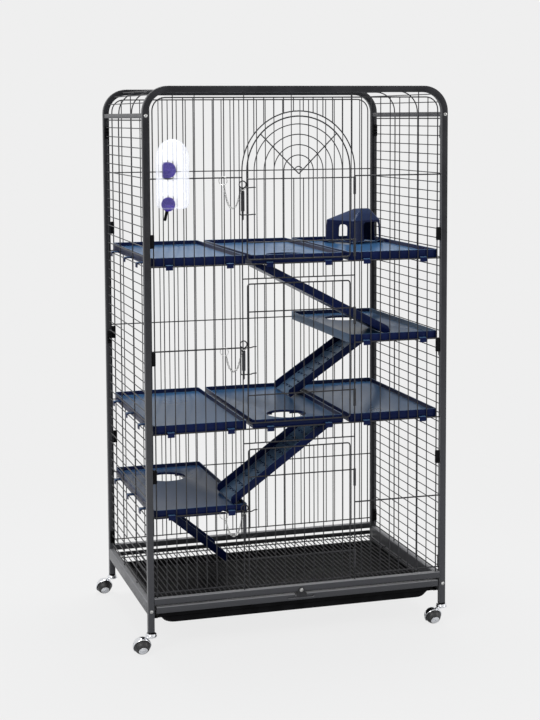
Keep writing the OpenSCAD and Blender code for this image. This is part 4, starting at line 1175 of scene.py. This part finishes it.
# %% drinking bottle
BOTTLE_X, BOTTLE_W, BOTTLE_T = -327.5, 81, 44
BOTTLE_BACK = -262
BOTTLE_Y = BOTTLE_BACK - BOTTLE_T / 2
BOTTLE_Z, BOTTLE_TOP = 1095, 1262
FOOT_H, DOME_H, GROOVE_Z = 16, 46, 41.5


def bottle_section(z):
    """Half width and half depth of the bottle at height z above its foot."""
    height = BOTTLE_TOP - BOTTLE_Z
    w, t = BOTTLE_W / 2, BOTTLE_T / 2
    if z < FOOT_H:
        k = math.sqrt(max(0.0, 1 - ((FOOT_H - z) / FOOT_H) ** 2))
        return w - 16 + 16 * k, t - 12 + 12 * k
    if z > height - DOME_H:
        k = math.sqrt(max(0.0, 1 - ((z - height + DOME_H) / DOME_H) ** 2))
        return max(3.0, w * k), max(2.5, (t - 3) * k ** 0.8 + 3 * k)
    return w, t


def bottle_rings(wall_t):
    heights = [0.0, 0.8, 2.2, 4.5, 8, 12, FOOT_H, 40, GROOVE_Z, 43, 70, 95, 105, 121, 128, 136, 144, 151,
               157, 162, 165.2, 167]
    rings = []
    for z in heights:
        w, t = bottle_section(z)
        waist = 0.8 if z == GROOVE_Z else 0.0
        w, t = w - wall_t - waist, t - wall_t - waist
        z = min(max(z, wall_t), BOTTLE_TOP - BOTTLE_Z - wall_t)
        rings.append([(p.x, p.y, z) for p in round_rect(2 * w, 2 * t, min(w, t) * 0.96, 9)])
    return rings


bottle = Shape()
bottle.at(moved(BOTTLE_X, BOTTLE_Y, BOTTLE_Z))
bottle.stack(bottle_rings(0))
bottle.stack([ring[::-1] for ring in bottle_rings(1.5)])
piece(bottle, "bottle_shell", "bottle", "clear_plastic", "bottle_body", crease=60)

# %% [markdown]
# The purple cap screws on the side of the bottle that faces the cage and is ribbed for the hand.
# The spout is a black tube with a collar, and a ball is held in its end. The D-shaped holder on
# the wires is ribbed as well.

# %% cap, spout and holder
CAP_X, CAP_Z, SPOUT_TILT = -333, 1105, 42
cap = Shape()
cap.at(moved(CAP_X, BOTTLE_BACK, CAP_Z), turned(-90, "X"))
dome = [(0, 0.0), (16.4, 0.0), (17.0, 0.6), (17.1, 1.6), (16.9, 3.0), (15.8, 4.4), (14.2, 5.6), (13.2, 7.0),
        (9.8, 9.4), (6.0, 10.8), (2.4, 11.2), (0, 11.2)]
cap.lathe(dome, 48)
for i in range(24):
    a = math.tau * i / 24
    cap.wire([(16.7 * math.cos(a), 16.7 * math.sin(a), 0.9), (16.4 * math.cos(a), 16.4 * math.sin(a), 3.2),
              (14.4 * math.cos(a), 14.4 * math.sin(a), 5.2)], 1.1, 6)
piece(cap, "bottle_screw_cap", "bottle", "purple_plastic", "bottle_cap")

spout = Shape()
spout.at(moved(CAP_X, BOTTLE_BACK + 3, CAP_Z), turned(180 + SPOUT_TILT, "X"))
spout.lathe([(0, 3), (3.6, 3), (3.6, 16), (4.6, 16.6), (4.6, 18.4), (3.6, 19), (3.6, 52.4), (3.2, 54),
             (2.4, 54), (2.3, 53.4), (2.3, 50), (0, 50)], 28)
ball = [(0, 49.3), (1.1, 49.6), (1.8, 50.4), (2.1, 51.3), (1.8, 52.3), (1.1, 53.0), (0, 53.3)]
spout.lathe(ball, 20)
piece(spout, "bottle_spout_tube", "bottle", "black_plastic", "bottle_spout")

holder = Shape()
HOLDER_X, HOLDER_Z, HOLDER_R, HOLDER_FLAT = -345, 1187, 19, 13
holder.at(moved(HOLDER_X, BOTTLE_BACK + 0.3, HOLDER_Z), turned(-90, "X"))
dee = [Vector((0, HOLDER_R)), Vector((0, -HOLDER_R)), *arc(HOLDER_FLAT, 0, HOLDER_R, -90, 90, 24)]
holder.slab(dee, 0, 13, 1.0)
for x in (3.5, 7.5, 11.5, 15.5, 19.5):
    half = math.sqrt((HOLDER_R - 1.5) ** 2 - max(0, x - HOLDER_FLAT) ** 2)
    holder.wire([(x, -half, 0), (x, half, 0)], 1.0, 6)
piece(holder, "bottle_holder", "root", "purple_plastic", "bottle_clip")

# %% [markdown]
# The tray is pressed from one sheet: a wide flange, turned up in front, and a basin whose sides
# fall in a soft S to the floor. Its front bar is a square tube with a finger slot, cut away
# behind the turn latch.

# %% tray
FLANGE_Z, SHEET, BASIN_DEEP = 85.2, 1.5, 16.2


def pan_ring(half_x, y0, y1, r, z):
    return [(p.x, p.y, z) for p in round_rect(2 * half_x, y1 - y0, r, 6, 0, (y0 + y1) / 2)]


def basin(sheet_up, grow):
    rings = []
    for i in range(13):
        u = i / 12
        fall = BASIN_DEEP * (u * u * (3 - 2 * u))
        rings.append(pan_ring(362 - 20 * u - grow, -240 + 2.5 * u + grow, 236 - 14 * u - grow, 14 + 8 * u,
                              FLANGE_Z + sheet_up - fall))
    return rings


pan = Shape()
under = basin(0, 0)[::-1] + [pan_ring(374, -241.8, 238, 5, FLANGE_Z),
                             pan_ring(376, -243.8, 240, 6, FLANGE_Z + 0.3)]
over = [pan_ring(376, -243.8, 240, 6, FLANGE_Z + 1.2), pan_ring(374.8, -242.6, 239, 5, FLANGE_Z + SHEET)]
pan.stack(under + over + basin(SHEET, 1.5))
pan.at(moved(0, -242.3, 0), turned(90, "X"))
pan.slab(round_rect(730, 14.1, 0.5, 2, 0, 92.45), 0, 1.5, 0.3)
piece(pan, "pressed_tray", "drawer", "black_plastic", "tray_pan", crease=50)

TRAY_BAR_X, TRAY_BAR_Z = 372, 99.5
bar = Shape()
bar.sweep([(s * TRAY_BAR_X, -POST_Y, TRAY_BAR_Z + TUBE / 2) for s in (-1, 1)], square)
slot = Shape().at(moved(0, -POST_Y - 4, 0), turned(90, "X"))
slot.slab(rounded([(-33, 104.5), (33, 104.5), (37, 110), (-37, 110)], 2), 0, 8, 0.05)
notch = Shape().at(moved(0, -POST_Y + 12, 0), turned(90, "X"))
notch.slab(rounded([(-15, 108.5), (15, 108.5), (15, 120), (-15, 120)], 2), 0, 24, 0.05)
bar = carve(carve(bar, notch), slot)
piece(bar, "tray_bar", "drawer", "frame_paint", "tray_front")

# %% [markdown]
# The grille above the tray is a net of its own: bars half an inch apart on five cross wires, with
# a strip across its back edge.

# %% floor grille
GRILLE_X, GRILLE_Z, GRILLE_STEP = 374, 102.5, 12.7
grille = Shape()
for k in range(-28, 29):
    x = GRILLE_STEP * k
    grille.wire([(x, -IN_Y, GRILLE_Z), (x, 249, GRILLE_Z)], THIN, 8)
for y5 in (-236, -118, 0, 118, 236):
    across(grille, GRILLE_X, y5, GRILLE_Z - LAYER, LOOP, 8)
for s in (-1, 1):
    fore_and_aft(grille, s * 365, 238, GRILLE_Z, LOOP, 8)
grille.sweep([(-GRILLE_X, 246.5, 108.5), (GRILLE_X, 246.5, 108.5)], round_rect(7, 10, 1.2, 3))
piece(grille, "floor_net", "drawer", "wire_coat", "floor_grille")

# %% [markdown]
# A flat tab on a screw turns down over the tray bar and keeps the drawer shut.

# %% turn latch
tab = Shape()
tab.at(moved(0, -POST_Y - TUBE / 2 - 0.2, 0), turned(90, "X"))
foot = rounded([(-13.5, 109), (13.5, 109), (9.5, 119), (-9.5, 119)], 1.5, 3)[:8]
tab.slab(foot + arc(0, 124, 8, -8, 188, 20), 0, 1.5, 0.3, [circle(2.45, 24, 0, 126)])
piece(tab, "turn_tab", "turn_button", "wire_coat", "turn_latch")

tab_screw = Shape().add(cross_screw(5, 2.4, 2.4, 20), moved(0, -POST_Y - TUBE / 2 - 1.9, 126))
piece(tab_screw, "turn_tab_screw", "root", "zinc", "turn_latch_screw")

# %% [markdown]
# Ball casters: a plastic plug in the leg takes the stem. The chrome cup swivels under it with a
# hood that covers the ball's upper back, and the ball turns on a tilted axle in the hood.

# %% casters
BALL_R, HOOD_R, HOOD_BORE, TRAIL, TILT = 20, 23, 20.6, 23, 30
CORNERS = {"front_left": (-1, -1), "front_right": (1, -1), "back_left": (-1, 1), "back_right": (1, 1)}

plugs = Shape()
for sx, sy in CORNERS.values():
    plugs.at(moved(sx * POST_X, sy * POST_Y, 0))
    plugs.slab(square, LEG_Z - 3, LEG_Z + 0.2, 0.5)
    plugs.slab(round_rect(13.2, 13.2, 1.5, 3), LEG_Z, LEG_Z + 24, 0.8)
piece(plugs, "leg_plugs", "root", "black_plastic", "caster_sockets")


def sphere_profile(r, z0, z1, steps):
    """Points (radius, height) of a sphere of radius r from height z0 to z1."""
    a0, a1 = math.asin(max(-1, z0 / r)), math.asin(min(1, z1 / r))
    turns = [a0 + (a1 - a0) * i / steps for i in range(steps + 1)]
    pole = math.pi / 2 - 1e-6
    return [(r * math.cos(a) if abs(a) < pole else 0.0, r * math.sin(a)) for a in turns]


for name, (sx, sy) in CORNERS.items():
    x, y0 = sx * POST_X, sy * POST_Y
    axle = (moved(x - TRAIL, y0, BALL_R), turned(90 + TILT, "X"))
    hood = Shape()
    hood.at(*axle)
    shell = sphere_profile(HOOD_R, -HOOD_R, 1.4, 20) + [(22.6, 2.0), (21.2, 2.0)]
    shell += sphere_profile(HOOD_BORE, -HOOD_BORE, 1.4, 20)[::-1]
    hood.lathe(shell, 48)
    everything = hood.bm.verts[:] + hood.bm.edges[:] + hood.bm.faces[:]
    cut = bmesh.ops.bisect_plane(hood.bm, geom=everything, plane_co=(0, 0, 6), plane_no=(0, 0, -1),
                                 clear_outer=True)
    bmesh.ops.holes_fill(hood.bm, edges=[e for e in cut["geom_cut"] if isinstance(e, bmesh.types.BMEdge)])
    hood.lathe([(0, -21.5), (3, -21.5), (3, 8), (0, 8)], 24)
    hood.lathe([(0, -24.2), (2.6, -24.0), (3.8, -23.4), (4.2, -22.4), (4.2, -21), (0, -21)], 24)
    hood.at(moved(x, y0, 0))
    cup = [(0, 40.8), (12.2, 40.8), (13.5, 41.5), (14, 42.8), (14, 44.3), (12.8, 45.2), (12.4, 46.0),
           (13.2, 46.8), (13.4, 48.4), (12.6, 49.8), (10.6, 50.9), (4, 50.9), (3.95, 51.2), (3.95, 70.8),
           (0, 70.8)]
    hood.lathe(cup, 40)
    piece(hood, name + "_caster_hood", "swivel_" + name, "chrome", "hood_" + name, crease=40)
    ball = Shape()
    ball.at(*axle)
    groove = [(19.0, 6.2), (18.55, 6.6), (18.7, 7.2)]
    skin = sphere_profile(BALL_R, -19.7, 6.0, 22) + groove + sphere_profile(BALL_R, 7.4, 15.8, 8)
    ball.lathe([(3.05, -11.5), (3.05, -19.77)] + skin + [(11.6, 16.1), (11.2, 15.0), (0, 15.0)], 48)
    piece(ball, name + "_caster_ball", "wheel_" + name, "ball_tread", "ball_" + name)
    hub = Shape()
    hub.at(*axle)
    disc = [(0, 14.6), (11.3, 14.6), (11.5, 15.4), (11.2, 16.2), (10.2, 16.8), (8.6, 17.0), (7.9, 16.6),
            (7.2, 16.4), (6.4, 16.8), (4.2, 17.9), (2.6, 18.1), (2.2, 17.8), (2.0, 16.4), (0, 16.2)]
    hub.lathe(disc, 48)
    piece(hub, name + "_caster_hub", "wheel_" + name, "chrome")

# %% [markdown]
# The room is a pale floor under a pale sky. Both show the same light grey to the camera, so no
# horizon is seen, and the floor lets a little of its own shading through near the cage, which
# keeps the shadow. Mirrors and clear walls see that grey in the sky; other rays see a dimmer light.

# %% floor and sky
PALE = (0.863, 0.863, 0.863)
ground = Finish("pale_floor")
seen = ground.node("ShaderNodeLightPath", output="Is Camera Ray")
speck = ground.noise(3, 3)
chalk = ground.mix(speck, (0.80, 0.80, 0.80), (0.84, 0.84, 0.84))
matt = ground.node("ShaderNodeBsdfDiffuse", {}, {"Color": chalk})
glow = ground.node("ShaderNodeEmission", {}, {"Color": (*PALE, 1), "Strength": 1.0})
away = ground.node("ShaderNodeVectorMath", {"operation": "LENGTH"}, {0: ground.place}, output=1)
share = seen * (0.92 + 0.08 * away.above(0.5, 2.0))
pale_floor = ground.done(ground.node("ShaderNodeMixShader", {}, {0: share, 1: matt, 2: glow}))

floor_mesh = bpy.data.meshes.new("floor")
floor_mesh.from_pydata([(-40, -40, 0), (40, -40, 0), (40, 40, 0), (-40, 40, 0)], [], [(0, 1, 2, 3)])
floor = bpy.data.objects.new("floor", floor_mesh)
floor.data.materials.append(pale_floor)
bpy.context.scene.collection.objects.link(floor)

sky = bpy.data.worlds.new("sky")
bpy.context.scene.world = sky
air = Nodes(sky)
RAYS = ("Is Camera Ray", "Is Glossy Ray", "Is Transmission Ray")
direct, glossy, through = (air.node("ShaderNodeLightPath", output=ray) for ray in RAYS)
shows = air.node("ShaderNodeMath", {"operation": "MAXIMUM"}, {0: direct, 1: glossy})
shows = air.node("ShaderNodeMath", {"operation": "MAXIMUM"}, {0: shows, 1: through})
lit = air.node("ShaderNodeBackground", {}, {"Color": (0.95, 0.97, 1.0, 1), "Strength": 0.55})
shown = air.node("ShaderNodeBackground", {}, {"Color": (*PALE, 1), "Strength": 1.0})
air.end("ShaderNodeOutputWorld", air.node("ShaderNodeMixShader", {}, {0: shows, 1: lit, 2: shown}))

# %% [markdown]
# Three soft boxes light the cage: the main one high on the left, a weaker one on the right, and
# one above it that draws a line along the top bars.

# %% soft boxes
def soft_box(name, place, target, size, power):
    lamp = bpy.data.lights.new(name, "AREA")
    lamp.shape = "RECTANGLE"
    lamp.size, lamp.size_y = size
    lamp.energy = power
    box = bpy.data.objects.new(name, lamp)
    box.location = place
    box.rotation_mode = "QUATERNION"
    box.rotation_quaternion = (Vector(target) - Vector(place)).to_track_quat("-Z", "Y")
    bpy.context.scene.collection.objects.link(box)


soft_box("key_box", (-2.6, -2.6, 2.8), (0, 0, 0.7), (1.8, 1.8), 70)
soft_box("fill_box", (3.0, -2.2, 1.8), (0, 0, 0.7), (1.6, 1.6), 28)
soft_box("top_box", (0.2, 0.8, 3.6), (0, 0, 1.0), (2.2, 1.2), 90)

view = bpy.context.scene.view_settings
view.view_transform = "Standard"
